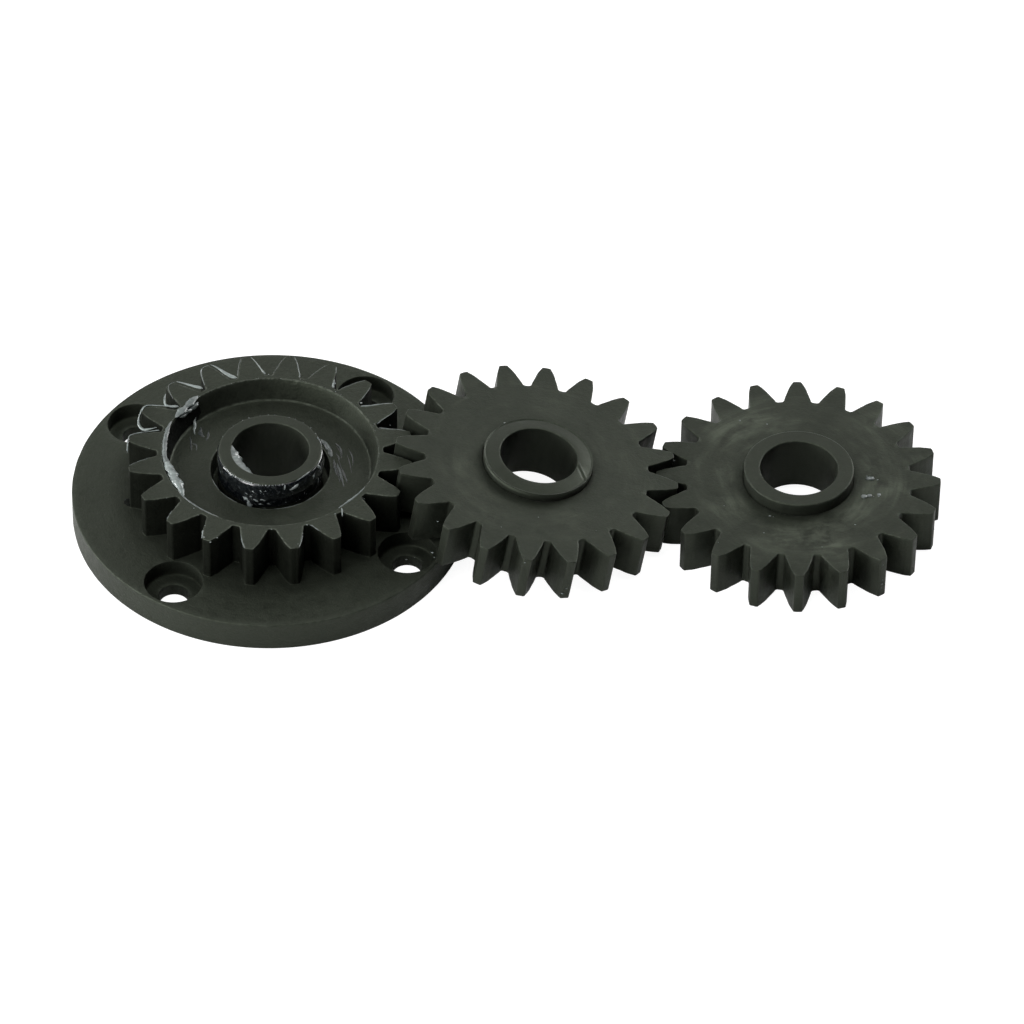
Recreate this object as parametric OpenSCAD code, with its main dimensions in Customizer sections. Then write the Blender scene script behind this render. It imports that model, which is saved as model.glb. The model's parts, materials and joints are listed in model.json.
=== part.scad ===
// Planetary gear set: a flanged sun gear, an idler gear and a planet gear,
// each running on its own plain bearing bush. The crank arm that carries the
// three bushes belongs to the machine and is not part of the set.
// Millimetres, +Z up. Origin: on the sun axis, in the underside of the flange.

/* [Teeth] */
// Module of all three gears
gear_module = 2; // [1.98:0.01:2.01]
// Number of teeth on each gear
teeth = 20; // [20:1:20]
// Pressure angle of the flanks in degrees
pressure_angle = 20; // [18:0.5:22]
// Amount taken off the tooth thickness at the pitch circle
tooth_thinning = 0.16; // [0.15:0.01:0.24]
// Depth of the tooth space below the pitch circle, in modules
dedendum = 1.3; // [1.28:0.01:1.34]
// How fast the straight lower flank widens towards the root, in degrees of half tooth angle per millimetre
foot_spread = 1.2; // [1.1:0.01:1.22]

/* [Flanged sun gear] */
// Diameter of the flange
flange_d = 61.4; // [60.4:0.2:61.4]
// Thickness of the flange
flange_t = 4.9; // [4.5:0.1:4.9]
// Height of the whole sun gear above the underside of the flange
sun_h = 12.5; // [12:0.1:12.6]
// Turn of the sun gear's teeth, from +X to the first tooth, in degrees
sun_phase = 11.9; // [11.8:0.05:12]
// Diameter of the recess in the top face, at the face
recess_top_d = 33.2; // [32.8:0.1:33.4]
// Diameter of the recess floor
recess_floor_d = 31; // [30:0.1:31.6]
// Depth of the recess
recess_depth = 3.5; // [3:0.1:3.8]
// Outer diameter of the grease groove round the sun bush
groove_d = 18.3; // [17.6:0.1:19]
// Height of the grease groove's floor above the underside
groove_floor_z = 5.5; // [5:0.1:7]

/* [Flange screw holes] */
// Number of screw holes, each in line with a tooth space
screw_count = 4; // [2:2:4]
// Diameter of the circle that the screw holes lie on
screw_pcd = 51.2; // [50.8:0.1:52]
// Diameter of the through holes
screw_hole_d = 4.5; // [4.2:0.1:5]
// Diameter of the counterbores for the screw heads
screw_head_d = 9; // [7.5:0.1:9]
// Depth of the counterbores
screw_head_depth = 2.8; // [1.5:0.1:3]

/* [Idler and planet gears] */
// Face width of the idler and planet gears
face_w = 7.7; // [7.4:0.1:7.7]
// Running clearance on the radius between a gear and its bush
running_clearance = 0.05; // [0.03:0.01:0.08]

/* [Bearing bushes] */
// Bore of all three bushes
bush_bore_d = 12; // [11:0.1:12.5]
// Outer diameter of the bush in the sun gear
sun_bush_d = 16; // [15.5:0.1:16.5]
// Height of the top end of the sun bush above the underside of the flange
sun_bush_top = 12.9; // [12.7:0.1:13.4]
// Gap between the lower end of the sun bush and the underside of the flange
sun_bush_gap = 0.3; // [0.2:0.1:0.6]
// Outer diameter of the bushes in the idler and planet gears
sleeve_d = 17; // [16:0.1:17.5]
// How far those bushes stand out of the gear's top face
sleeve_proud = 1.5; // [1:0.1:2]
// How much higher the planet's bush sits in its gear than the idler's
planet_bush_lift = 0.5; // [0.2:0.1:0.8]

/* [Placing] */
// Distance along X from the sun axis to the centre of the idler's top face
idler_x = 41.14; // [41.12:0.01:41.16]
// Distance along Y from the sun axis to the centre of the idler's top face
idler_y = -0.1; // [-0.12:0.01:-0.05]
// Height of the centre of the idler's top face
idler_z = 11.3; // [11.28:0.01:11.5]
// Lean of the idler, whose sun side rides up on the flange, in degrees
idler_lean = 8.2; // [8.1:0.05:8.3]
// Turn of the idler's teeth, from +X to the first tooth, in degrees
idler_phase = 14.8; // [14.75:0.01:14.85]
// Distance along X from the sun axis to the planet axis
planet_x = 81.5; // [81.45:0.05:81.6]
// Distance along Y from the sun axis to the planet axis
planet_y = 1.55; // [1.5:0.01:1.6]
// Turn of the planet's teeth, from +X to the first tooth, in degrees
planet_phase = 17.6; // [17.55:0.01:17.65]

/* [Hidden] */
$fn = 96;
eps = 0.5;

gear_color = [0.17, 0.18, 0.17];
bush_color = [0.24, 0.25, 0.24];

pitch_r = gear_module * teeth / 2;
tip_r = pitch_r + gear_module;
root_r = pitch_r - dedendum * gear_module;
base_r = pitch_r * cos(pressure_angle);
// Where the involute ends and the straight lower flank begins
low_r = pitch_r - 0.2 * gear_module;
// Where the flank ends and the rounding into the tooth space begins
fillet_r = 0.45;
foot_r = root_r + fillet_r;
tooth_angle = 360 / teeth;
// Rounding of the tip corners
tip_round = 0.25;

// The first screw hole lies two and a half teeth on from the first tooth
screw_angle = sun_phase + 2.5 * tooth_angle;

sun_bush_bore_r = sun_bush_d / 2 + running_clearance;
sleeve_bore_r = sleeve_d / 2 + running_clearance;

// Involute function, angle in degrees, result in degrees
function inv(a) = tan(a) * 180 / PI - a;
// Roll angle of the involute at radius r
function at_r(r) = acos(min(1, base_r / r));
// Half of the tooth's angle at radius r on the involute
function half_involute(r) =
    (PI * gear_module / 2 - tooth_thinning) / 2 / pitch_r * 180 / PI
    + inv(pressure_angle) - inv(at_r(r));
// Half of the tooth's angle at radius r, on the involute or on the lower flank
function half_tooth(r) =
    r >= low_r ? half_involute(r) : half_involute(low_r) + foot_spread * (low_r - r);
function polar(r, a) = [r * cos(a), r * sin(a)];

// Radii of the points up one flank
flank_r = concat([foot_r + (low_r - foot_r) / 2], [for (i = [0:4]) low_r + (tip_r - tip_round - low_r) * i / 4]);
// Angle that the foot rounding takes up at the root circle
foot_turn = asin(fillet_r / root_r);

// One tooth and half a space on each side, counter-clockwise round angle a
function tooth_points(a) = concat(
    [polar(root_r, a - tooth_angle / 2)],
    [polar(root_r, a - half_tooth(foot_r) - foot_turn)],
    [polar(root_r + 0.13, a - half_tooth(foot_r) - foot_turn * 0.36)],
    [polar(foot_r, a - half_tooth(foot_r))],
    [for (r = flank_r) polar(r, a - half_tooth(r))],
    [polar(tip_r, a - half_tooth(tip_r) + tip_round / tip_r * 180 / PI)],
    [polar(tip_r, a)],
    [polar(tip_r, a + half_tooth(tip_r) - tip_round / tip_r * 180 / PI)],
    [for (i = [5:-1:0]) polar(flank_r[i], a + half_tooth(flank_r[i]))],
    [polar(foot_r, a + half_tooth(foot_r))],
    [polar(root_r + 0.13, a + half_tooth(foot_r) + foot_turn * 0.36)],
    [polar(root_r, a + half_tooth(foot_r) + foot_turn)]
);

module gear_profile(phase) {
    polygon([for (k = [0:teeth - 1]) each tooth_points(phase + k * tooth_angle)]);
}

// Spur gear with a plain bore, from z = 0 up
module spur_gear(phase, width, bore_r) {
    difference() {
        linear_extrude(height = width) gear_profile(phase);
        translate([0, 0, -eps]) cylinder(r = bore_r, h = width + 2 * eps);
    }
}

// Plain round bush from z = 0 up
module bush(outer_d, length) {
    difference() {
        cylinder(d = outer_d, h = length);
        translate([0, 0, -eps]) cylinder(d = bush_bore_d, h = length + 2 * eps);
    }
}

// Puts a child, drawn with its top face at z = 0, on the idler's leaning axis
module on_idler_axis() {
    translate([idler_x, idler_y, idler_z]) rotate([0, idler_lean, 0]) children();
}

module screw_hole() {
    translate([0, 0, -eps]) cylinder(d = screw_hole_d, h = flange_t + 2 * eps);
    translate([0, 0, flange_t - screw_head_depth])
        cylinder(d = screw_head_d, h = screw_head_depth + eps);
}

// Sun gear and flange in one piece, with a dished top face, a bearing bore
// and a grease groove at its upper end
module flange_gear() color(gear_color) {
    difference() {
        union() {
            cylinder(d = flange_d, h = flange_t, $fn = 180);
            linear_extrude(height = sun_h) gear_profile(sun_phase);
        }
        // dished recess with a leaning wall
        translate([0, 0, sun_h - recess_depth])
            rotate_extrude($fn = 128)
                polygon([
                    [0, 0], [recess_floor_d / 2, 0], [recess_top_d / 2, recess_depth],
                    [recess_top_d / 2, recess_depth + eps], [0, recess_depth + eps]
                ]);
        // grease groove
        translate([0, 0, groove_floor_z]) cylinder(d = groove_d, h = sun_h);
        // bearing bore
        translate([0, 0, -eps]) cylinder(r = sun_bush_bore_r, h = sun_h);
        for (k = [0:screw_count - 1])
            rotate([0, 0, screw_angle + k * 360 / screw_count])
                translate([screw_pcd / 2, 0, 0]) screw_hole();
    }
}

// Bush that turns in the sun gear's bearing bore
module sun_bush() color(bush_color) {
    translate([0, 0, sun_bush_gap]) bush(sun_bush_d, sun_bush_top - sun_bush_gap);
}

module idler_gear() color(gear_color) {
    on_idler_axis() translate([0, 0, -face_w])
        spur_gear(idler_phase, face_w, sleeve_bore_r);
}

module idler_bush() color(bush_color) {
    on_idler_axis() translate([0, 0, -face_w]) bush(sleeve_d, face_w + sleeve_proud);
}

module planet_gear() color(gear_color) {
    translate([planet_x, planet_y, 0]) spur_gear(planet_phase, face_w, sleeve_bore_r);
}

module planet_bush() color(bush_color) {
    translate([planet_x, planet_y, planet_bush_lift]) bush(sleeve_d, face_w + sleeve_proud);
}

flange_gear();
sun_bush();
idler_gear();
idler_bush();
planet_gear();
planet_bush();
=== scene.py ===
import json
import math
import bpy
import bmesh
import numpy as np
from mathutils import Matrix, Vector, noise
from mathutils.geometry import delaunay_2d_cdt


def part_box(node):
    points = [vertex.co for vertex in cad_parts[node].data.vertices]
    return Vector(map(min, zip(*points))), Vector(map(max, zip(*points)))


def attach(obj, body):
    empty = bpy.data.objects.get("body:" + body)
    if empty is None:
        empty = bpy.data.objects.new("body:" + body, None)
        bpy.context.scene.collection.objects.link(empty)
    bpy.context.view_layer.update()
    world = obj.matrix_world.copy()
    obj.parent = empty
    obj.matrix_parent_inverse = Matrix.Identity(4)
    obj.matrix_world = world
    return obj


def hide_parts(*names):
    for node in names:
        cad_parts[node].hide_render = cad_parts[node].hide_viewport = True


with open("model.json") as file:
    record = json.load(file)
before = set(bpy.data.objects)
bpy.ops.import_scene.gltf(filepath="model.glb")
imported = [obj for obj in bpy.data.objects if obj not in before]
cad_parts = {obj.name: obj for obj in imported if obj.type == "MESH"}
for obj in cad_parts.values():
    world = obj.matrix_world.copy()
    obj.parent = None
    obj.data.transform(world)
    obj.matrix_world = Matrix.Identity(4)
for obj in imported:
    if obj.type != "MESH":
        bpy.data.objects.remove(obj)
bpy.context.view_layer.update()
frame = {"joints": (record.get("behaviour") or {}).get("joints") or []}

MM = 0.001
PI = math.pi

# ---------------------------------------------------------------- places, from the frame
joints = {j["name"]: j for j in frame["joints"]}
lo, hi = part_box("flange_gear")
SUN_H = hi.z / MM                      # top face of the sun gear
FLANGE_R = (hi.x - lo.x) / 2 / MM
lo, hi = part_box("planet_gear")
FACE_W = (hi.z - lo.z) / MM            # face width of the two loose gears
lo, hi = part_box("planet_bush")
PROUD = (hi.z - lo.z) / MM - FACE_W    # how far the idler's bush stands out of its gear
LIFT = lo.z / MM                       # how much higher the planet's bush sits
SLEEVE_R = (hi.x - lo.x) / 2 / MM
lo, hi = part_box("sun_bush")
SUN_BUSH_R, SUN_BUSH_LOW, SUN_BUSH_TOP = (hi.x - lo.x) / 2 / MM, lo.z / MM, hi.z / MM
planet_at = [c / MM for c in joints["planet_spin"]["pos_m"]]
idler_at = [c / MM for c in joints["idler_spin"]["pos_m"]]
idler_axis = Vector(joints["idler_spin"]["axis"])
IDLER_LEAN = math.atan2(idler_axis.x, idler_axis.z)

# ---------------------------------------------------------------- tooth form, in millimetres
MODULE, TEETH = 2.0, 20
PA = math.radians(20)
THIN = 0.16
PITCH_R, TIP_R, ROOT_R = 20.0, 22.0, 17.4
BASE_R = PITCH_R * math.cos(PA)
FILLET = 0.45
FOOT_R = ROOT_R + FILLET
LOW_R = PITCH_R - 0.2 * MODULE          # the involute ends and the straight lower flank begins
FOOT_SPREAD = math.radians(1.2)
TA = 2 * PI / TEETH
SUN_PHASE, IDLER_PHASE, PLANET_PHASE = (math.radians(a) for a in (11.9, 14.8, 17.6))
FLANGE_T = 4.9
BORE_R = 6.0


def inv(a):
    return math.tan(a) - a


def half_tooth(r):
    q = max(r, LOW_R)
    return ((PI * MODULE / 2 - THIN) / 2 / PITCH_R + inv(PA)
            - inv(math.acos(min(1.0, BASE_R / q))) + FOOT_SPREAD * (q - r))


# Half a tooth, from the middle of the tooth space to the middle of the tip: (radius, angle off the tooth's centre)
J0, NF, NI, NT, M = 4, 5, 9, 4, 16
TIP_ROUND = 0.25


def half_outline():
    hb = half_tooth(FOOT_R)
    turn = math.asin(FILLET / ROOT_R)
    pts = [(ROOT_R, TA / 2 + (hb + turn - TA / 2) * i / J0) for i in range(J0)]
    for i in range(NF + 1):
        p = PI / 2 * i / NF
        pts.append((ROOT_R + FILLET * (1 - math.cos(p)), hb + turn * (1 - math.sin(p))))
    top = TIP_R - TIP_ROUND
    for i in range(NI + 1):
        r = FOOT_R + (top - FOOT_R) * i / NI
        if i == 0:
            continue
        pts.append((r, half_tooth(r)))
    a_end = half_tooth(TIP_R) - TIP_ROUND * 0.85 / TIP_R
    a_0 = half_tooth(top)
    for i in range(1, NT + 1):
        p = PI / 2 * i / NT
        pts.append((top + TIP_ROUND * math.sin(p), a_0 + (a_end - a_0) * (1 - math.cos(p))))
    for i in range(1, M // 2 + 1):
        pts.append((TIP_R, a_end * (1 - i / (M // 2))))
    return pts


HALF = half_outline()
K = len(HALF) - 1
J1 = K - M // 2


def rnd(seed):
    return np.random.default_rng(seed)


def nz(x, y, z=0.0, s=1.0):
    return noise.noise(Vector((x * s, y * s, z * s)))


# ---------------------------------------------------------------- mesh gathering
class Build:
    """Gathers patches in millimetres and welds them into one mesh."""

    def __init__(self):
        self.v, self.f, self.w, self.mat = [], [], [], []
        self.n = 0

    def add(self, verts, faces, wear=0.0):
        verts = np.asarray(verts, float).reshape(-1, 3)
        w = np.broadcast_to(np.asarray(wear, float).reshape(-1) if np.ndim(wear) else wear, (len(verts),))
        self.v.append(verts)
        self.w.append(np.array(w, float))
        self.f += [tuple(int(i) + self.n for i in f) for f in faces]
        self.n += len(verts)

    def grid(self, g, closed=False, wear=0.0):
        g = np.asarray(g, float)
        r, c = g.shape[:2]
        i = np.arange(r * c).reshape(r, c)
        faces = []
        for a in range(r - 1):
            for b in range(c if closed else c - 1):
                b2 = (b + 1) % c
                faces.append((i[a, b], i[a, b2], i[a + 1, b2], i[a + 1, b]))
        wear = np.broadcast_to(np.asarray(wear, float), (r, c)) if np.ndim(wear) else wear
        self.add(g.reshape(-1, 3), faces, np.array(wear).reshape(-1) if np.ndim(wear) else wear)

    def done(self, name, matrix=None, weld=2e-4):
        v, w = np.concatenate(self.v), np.concatenate(self.w)
        key = np.round((v + 0.0000371) / weld).astype(np.int64)
        _, first, back = np.unique(key, axis=0, return_index=True, return_inverse=True)
        back = back.reshape(-1)
        wmax = np.zeros(len(first))
        np.maximum.at(wmax, back, w)
        faces = []
        for f in self.f:
            q = [int(back[i]) for i in f]
            q = [a for k, a in enumerate(q) if a != q[k - 1]]
            if len(set(q)) == len(q) and len(q) > 2:
                faces.append(q)
        me = bpy.data.meshes.new(name)
        me.from_pydata((v[first] * MM).tolist(), [], faces)
        at = me.attributes.new("wear", "FLOAT", "POINT")
        at.data.foreach_set("value", wmax.astype(np.float32))
        bm = bmesh.new()
        bm.from_mesh(me)
        bmesh.ops.recalc_face_normals(bm, faces=bm.faces)
        open_edges = sum(1 for e in bm.edges if not e.is_manifold)
        bm.to_mesh(me)
        bm.free()
        me.validate()
        me.polygons.foreach_set("use_smooth", [True] * len(me.polygons))
        o = bpy.data.objects.new(name, me)
        bpy.context.scene.collection.objects.link(o)
        if matrix is not None:
            o.matrix_world = matrix
        print("mesh", name, len(me.vertices), "vertices", len(me.polygons), "faces", open_edges, "open edges")
        return o


def outline(phase, rough=0.02, seed=1, special=None):
    """The whole tooth outline with a moulded part's small unevenness, and its outward normals."""
    pts = []
    for k in range(TEETH):
        c = phase + k * TA
        for j in range(0, K + 1):
            r, a = HALF[j]
            pts.append((r, c - a))
        for j in range(K - 1, 0, -1):
            r, a = HALF[j]
            pts.append((r, c + a))
    pts = np.array(pts)
    P = np.stack([pts[:, 0] * np.cos(pts[:, 1]), pts[:, 0] * np.sin(pts[:, 1])], 1)
    t = np.roll(P, -1, 0) - np.roll(P, 1, 0)
    t /= np.linalg.norm(t, axis=1)[:, None]
    n = np.stack([t[:, 1], -t[:, 0]], 1)
    d = np.array([rough * (nz(x, y, seed * 7.3, 0.9) + 0.6 * nz(x, y, seed * 3.1, 2.6)) - 0.35 * rough for x, y in P])
    if special is not None:
        d = d + special(pts, P)
    d = np.clip(d, -0.12, 0.05)
    # the tips never grow, so the gears keep their room
    grow = np.linalg.norm(P + n * d[:, None], axis=1) > TIP_R
    d[grow] = np.minimum(d[grow], 0)
    return P + n * d[:, None], n, pts


def tooth_face(B, Q, r_in, zf, rows, wear_edge, rim=None):
    """The flat face: a ring from r_in to the tooth roots, and one patch per tooth.  Q is the outline the face ends at.
    zf(x, y) gives the height.  Returns the ring columns' angles."""
    rq = np.linalg.norm(Q, axis=1)
    aq = np.unwrap(np.arctan2(Q[:, 1], Q[:, 0]))
    n_loop = len(Q)
    total = 2 * PI

    def at(i):
        t, m = divmod(i, n_loop)
        return rq[m], aq[m] + t * total

    ring_r, ring_a, ring_edge = [], [], []
    for k in range(TEETH):
        i0 = k * 2 * K
        rowset, edges = [], []
        for j in range(J0, J1 + 1):
            if j == J1:
                rr = [at(i) for i in range(i0 + J1, i0 + 2 * K - J1 + 1)]
                row = np.array(rr)
            else:
                (r1, a1), (r2, a2) = at(i0 + j), at(i0 + 2 * K - j)
                s = np.linspace(0, 1, M + 1)
                row = np.stack([r1 + (r2 - r1) * s, a1 + (a2 - a1) * s], 1)
            rowset.append(row)
        rowset = np.array(rowset)
        x, y = rowset[..., 0] * np.cos(rowset[..., 1]), rowset[..., 0] * np.sin(rowset[..., 1])
        z = np.vectorize(zf)(x, y)
        w = np.zeros(x.shape)
        w[:, 0] = w[:, -1] = wear_edge
        w[-1, :] = wear_edge
        B.grid(np.stack([x, y, z], 2), wear=w)
        for i in range(i0, i0 + J0 + 1):
            ring_r.append(at(i)[0]); ring_a.append(at(i)[1]); ring_edge.append(1)
        for m in range(1, M):
            ring_r.append(rowset[0, m, 0]); ring_a.append(rowset[0, m, 1]); ring_edge.append(0)
        for i in range(i0 + 2 * K - J0, i0 + 2 * K):
            ring_r.append(at(i)[0]); ring_a.append(at(i)[1]); ring_edge.append(1)
    ring_r, ring_a, ring_edge = np.array(ring_r), np.array(ring_a), np.array(ring_edge)
    inner = np.full(len(ring_a), r_in) if rim is None else rim(ring_a)
    s = np.linspace(0, 1, rows + 1)[:, None]
    rr = inner[None] * (1 - s) + ring_r[None] * s
    x, y = rr * np.cos(ring_a)[None], rr * np.sin(ring_a)[None]
    z = np.vectorize(zf)(x, y)
    w = np.zeros(x.shape)
    w[-1] = ring_edge * wear_edge
    w[0] = wear_edge
    B.grid(np.stack([x, y, z], 2), closed=True, wear=w)
    return ring_a, inner, z[0]


def loop_rows(B, P, n, offs, wear, zfun=None):
    """A skin round the outline: one row per (offset, height)."""
    g = []
    for k, (o, z) in enumerate(offs):
        q = P + n * (o[:, None] if np.ndim(o) else o)
        zz = np.full(len(P), z) if np.ndim(z) == 0 else z
        g.append(np.concatenate([q, zz[:, None]], 1))
    B.grid(np.array(g), closed=True, wear=np.array(wear, float)[:, None] * np.ones(len(P)))


def lathe(B, ang, prof, wear):
    """Turns (radius, height) pairs about the axis; each may be an array over the columns."""
    g = []
    for r, z in prof:
        r = np.broadcast_to(r, ang.shape)
        z = np.broadcast_to(z, ang.shape)
        g.append(np.stack([r * np.cos(ang), r * np.sin(ang), z], 1))
    B.grid(np.array(g), closed=True, wear=np.array(wear, float)[:, None] * np.ones(len(ang)))


def circle(c, r, n, a0=0.0):
    t = a0 + np.arange(n) * 2 * PI / n
    return np.stack([c[0] + r * np.cos(t), c[1] + r * np.sin(t)], 1)


def inside(poly, pts):
    x, y = pts[:, 0], pts[:, 1]
    res = np.zeros(len(pts), bool)
    x1, y1 = poly[:, 0], poly[:, 1]
    x2, y2 = np.roll(x1, -1), np.roll(y1, -1)
    for a, b, c, d in zip(x1, y1, x2, y2):
        if b == d:
            continue
        hit = ((b > y) != (d > y)) & (x < (c - a) * (y - b) / (d - b) + a)
        res ^= hit
    return res


def fill(B, outer, holes, inner_pts, zf, wear=0.0):
    """A flat face between an outer loop and inner loops, with points inside for an even mesh."""
    loops = [outer] + holes
    verts, edges, n = [], [], 0
    for lp in loops:
        verts += [tuple(p) for p in lp]
        edges += [(n + i, n + (i + 1) % len(lp)) for i in range(len(lp))]
        n += len(lp)
    n_edge = n
    verts += [tuple(p) for p in inner_pts]
    out = delaunay_2d_cdt([Vector(p) for p in verts], edges, [], 0, 1e-6)
    vo, fo, orig = out[0], out[2], out[3]
    src = np.array(verts)
    P = np.array([src[o[0]] if len(o) else (v[0], v[1]) for v, o in zip(vo, orig)])
    cen = np.array([P[list(f)].mean(0) for f in fo])
    keep = inside(outer, cen)
    for h in holes:
        keep &= ~inside(h, cen)
    z = np.array([zf(x, y) for x, y in P])
    w = np.array([wear if (len(o) and o[0] < n_edge) else 0.0 for o in orig])
    B.add(np.concatenate([P, z[:, None]], 1), [tuple(f) for f, k in zip(fo, keep) if k], w)


def arc(e, n, sign=1):
    """Quarter-round: (inset, drop) pairs from the face to the side."""
    return [(e * (1 - math.sin(PI / 2 * i / n)), e * (1 - math.cos(PI / 2 * i / n))) for i in range(n + 1)]


# ---------------------------------------------------------------- flanged sun gear
def make_sun():
    B = Build()
    top = SUN_H
    e = 0.13

    def special(pts, P):
        d = np.zeros(len(pts))
        for i, (r, a) in enumerate(pts):
            k = ((a - SUN_PHASE) / TA) % TEETH
            if r > 18.5:
                d[i] += -0.05 * abs(nz(r * 3.1, k * 11.0, 4.4, 1.0))
                if abs(k - 13) < 0.5:
                    d[i] += -0.09 * max(0.0, nz(r * 2.2, k * 9.0, 8.8, 1.0)) * 2
        return d

    P, n, pts = outline(SUN_PHASE, 0.02, 3, special)

    # burr of torn plastic round the recess rim, strongest on the far side
    g = rnd(11)
    jit = g.uniform(-1, 1, TEETH * (2 * J0 + M))

    def amount(a):
        d = (np.degrees(a) + 360) % 360
        return 0.25 + 0.75 * np.exp(-((((d - 85 + 180) % 360) - 180) / 62.0) ** 2)

    def rim_r(a):
        base = 16.6 + e * 0.9
        wav = np.array([0.05 * nz(math.cos(t) * 9, math.sin(t) * 9, 2.0) for t in a])
        return base + wav - 0.02 + jit * 0.085 * amount(a)

    def zf(x, y):
        return top + 0.012 * nz(x, y, 1.0, 0.45)

    ee = np.array([0.6 + 0.5 * abs(nz(x, y, 5.5, 1.3)) for x, y in P]) * e
    steps = 3
    offs = [(-ee * (1 - math.sin(PI / 2 * i / steps)), top - ee * (1 - math.cos(PI / 2 * i / steps))) for i in range(steps + 1)]
    Q = P - n * ee[:, None]
    zq = np.array([zf(x, y) for x, y in Q])
    offs[0] = (-ee, zq)
    foot = 0.12
    rows = list(offs)
    wear = [1.0, 1.0, 0.7, 0.2]
    for z in np.linspace(top - 0.6, FLANGE_T + 0.5, 7):
        rows.append((0.0, z)); wear.append(0.0)
    for i in range(4):
        p = PI / 2 * i / 3
        rows.append((foot * (1 - math.cos(p)), FLANGE_T + foot * (1 - math.sin(p)))); wear.append(0.0)
    loop_rows(B, P, n, rows, wear)
    ang, rim, zr = tooth_face(B, Q, None, zf, 4, 1.0, rim=rim_r)

    # recess wall, floor, groove and bearing bore
    am = amount(ang)
    burr_z = top + np.clip(jit, 0, 1) * 0.07 * am
    wall_top, wall_low = 16.6, 15.5
    fl = SUN_H - 3.5
    lf = 0.32
    prof = [(rim, zr), (rim - 0.04, burr_z), (wall_top + jit * 0.03 * am, top - 0.10 - 0.05 * am * np.abs(jit)), (wall_top - 0.06, top - 0.22)]
    wr = [1.0, 1.0, 0.8, 0.1]
    slope = (wall_top - wall_low) / 3.5
    for z in (top - 0.8, top - 1.5, top - 2.3, fl + lf + 0.18):
        prof.append((wall_low + slope * (z - fl), z)); wr.append(0.0)
    for i in range(5):
        p = PI / 2 * i / 4
        prof.append((wall_low + slope * lf - lf * (1 - math.cos(p)) * 1.05, fl + lf * (1 - math.sin(p)))); wr.append(0.55 if 0 < i < 4 else 0.0)

    def floor_z(r):
        return np.array([fl + 0.018 * nz(r * math.cos(t), r * math.sin(t), 9.0, 0.6) for t in ang])

    prof[-1] = (prof[-1][0], floor_z(prof[-1][0]))
    for r in np.linspace(14.9, 9.5, 12):
        prof.append((r, floor_z(r))); wr.append(0.0)
    gr = 0.16
    for i in range(4):
        p = PI / 2 * i / 3
        prof.append((9.15 + gr * (1 - math.sin(p)), fl - gr * (1 - math.cos(p)) + 0.01)); wr.append(0.9 if i < 3 else 0.2)
    for z in (fl - 0.6, fl - 1.4, fl - 2.4, 5.8):
        prof.append((9.15, z)); wr.append(0.0)
    prof += [(9.06, 5.56), (8.85, 5.5), (8.4, 5.5), (8.05 + 0.1, 5.5), (8.05, 5.4)]
    wr += [0.0] * 5
    for z in (4.6, 3.4, 2.2, 1.0, 0.18):
        prof.append((8.05, z)); wr.append(0.0)
    prof += [(8.09, 0.06), (8.2, 0.0)]
    wr += [0.0, 0.3]
    lathe(B, ang, prof, wr)

    # flange: faces, edge and screw holes
    hole_a = [SUN_PHASE + 2.5 * TA + i * PI / 2 for i in range(4)]
    centres = [(25.6 * math.cos(a), 25.6 * math.sin(a)) for a in hole_a]
    NE = 360
    er = 0.22
    head_r, thru_r, floor_h, hr = 4.5, 2.25, FLANGE_T - 2.8, 0.05

    def ztop(x, y):
        return FLANGE_T + 0.02 * nz(x, y, 3.0, 0.25) * min(1.0, max(0.0, (math.hypot(x, y) - 22.4) / 1.5)) * min(1.0, max(0.0, (30.2 - math.hypot(x, y)) / 1.0))

    foot_loop = P + n * foot
    outer_top = circle((0, 0), FLANGE_R - er, NE)
    heads = [circle(c, head_r + hr, 72, a) for c, a in zip(centres, hole_a)]
    pts_in = []
    r = 17.9
    while r < FLANGE_R - 0.7:
        m = int(2 * PI * r / 0.95)
        for i in range(m):
            a = 2 * PI * (i + 0.5 * (int(r * 10) % 2)) / m
            pts_in.append((r * math.cos(a), r * math.sin(a)))
        r += 0.9
    pts_in = np.array(pts_in)
    kk = ~inside(foot_loop, pts_in)
    for c in centres:
        kk &= np.hypot(pts_in[:, 0] - c[0], pts_in[:, 1] - c[1]) > head_r + 0.45
    near = np.array([np.min(np.hypot(foot_loop[:, 0] - x, foot_loop[:, 1] - y)) for x, y in pts_in])
    kk &= near > 0.4
    hole_rims = np.concatenate(heads)

    def ztop2(x, y):
        # keeps every loop exactly flat, so the patches meet
        if np.min(np.abs(foot_loop[:, 0] - x) + np.abs(foot_loop[:, 1] - y)) < 1e-6:
            return FLANGE_T
        if np.min(np.abs(hole_rims[:, 0] - x) + np.abs(hole_rims[:, 1] - y)) < 1e-6:
            return FLANGE_T
        return ztop(x, y)

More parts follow.
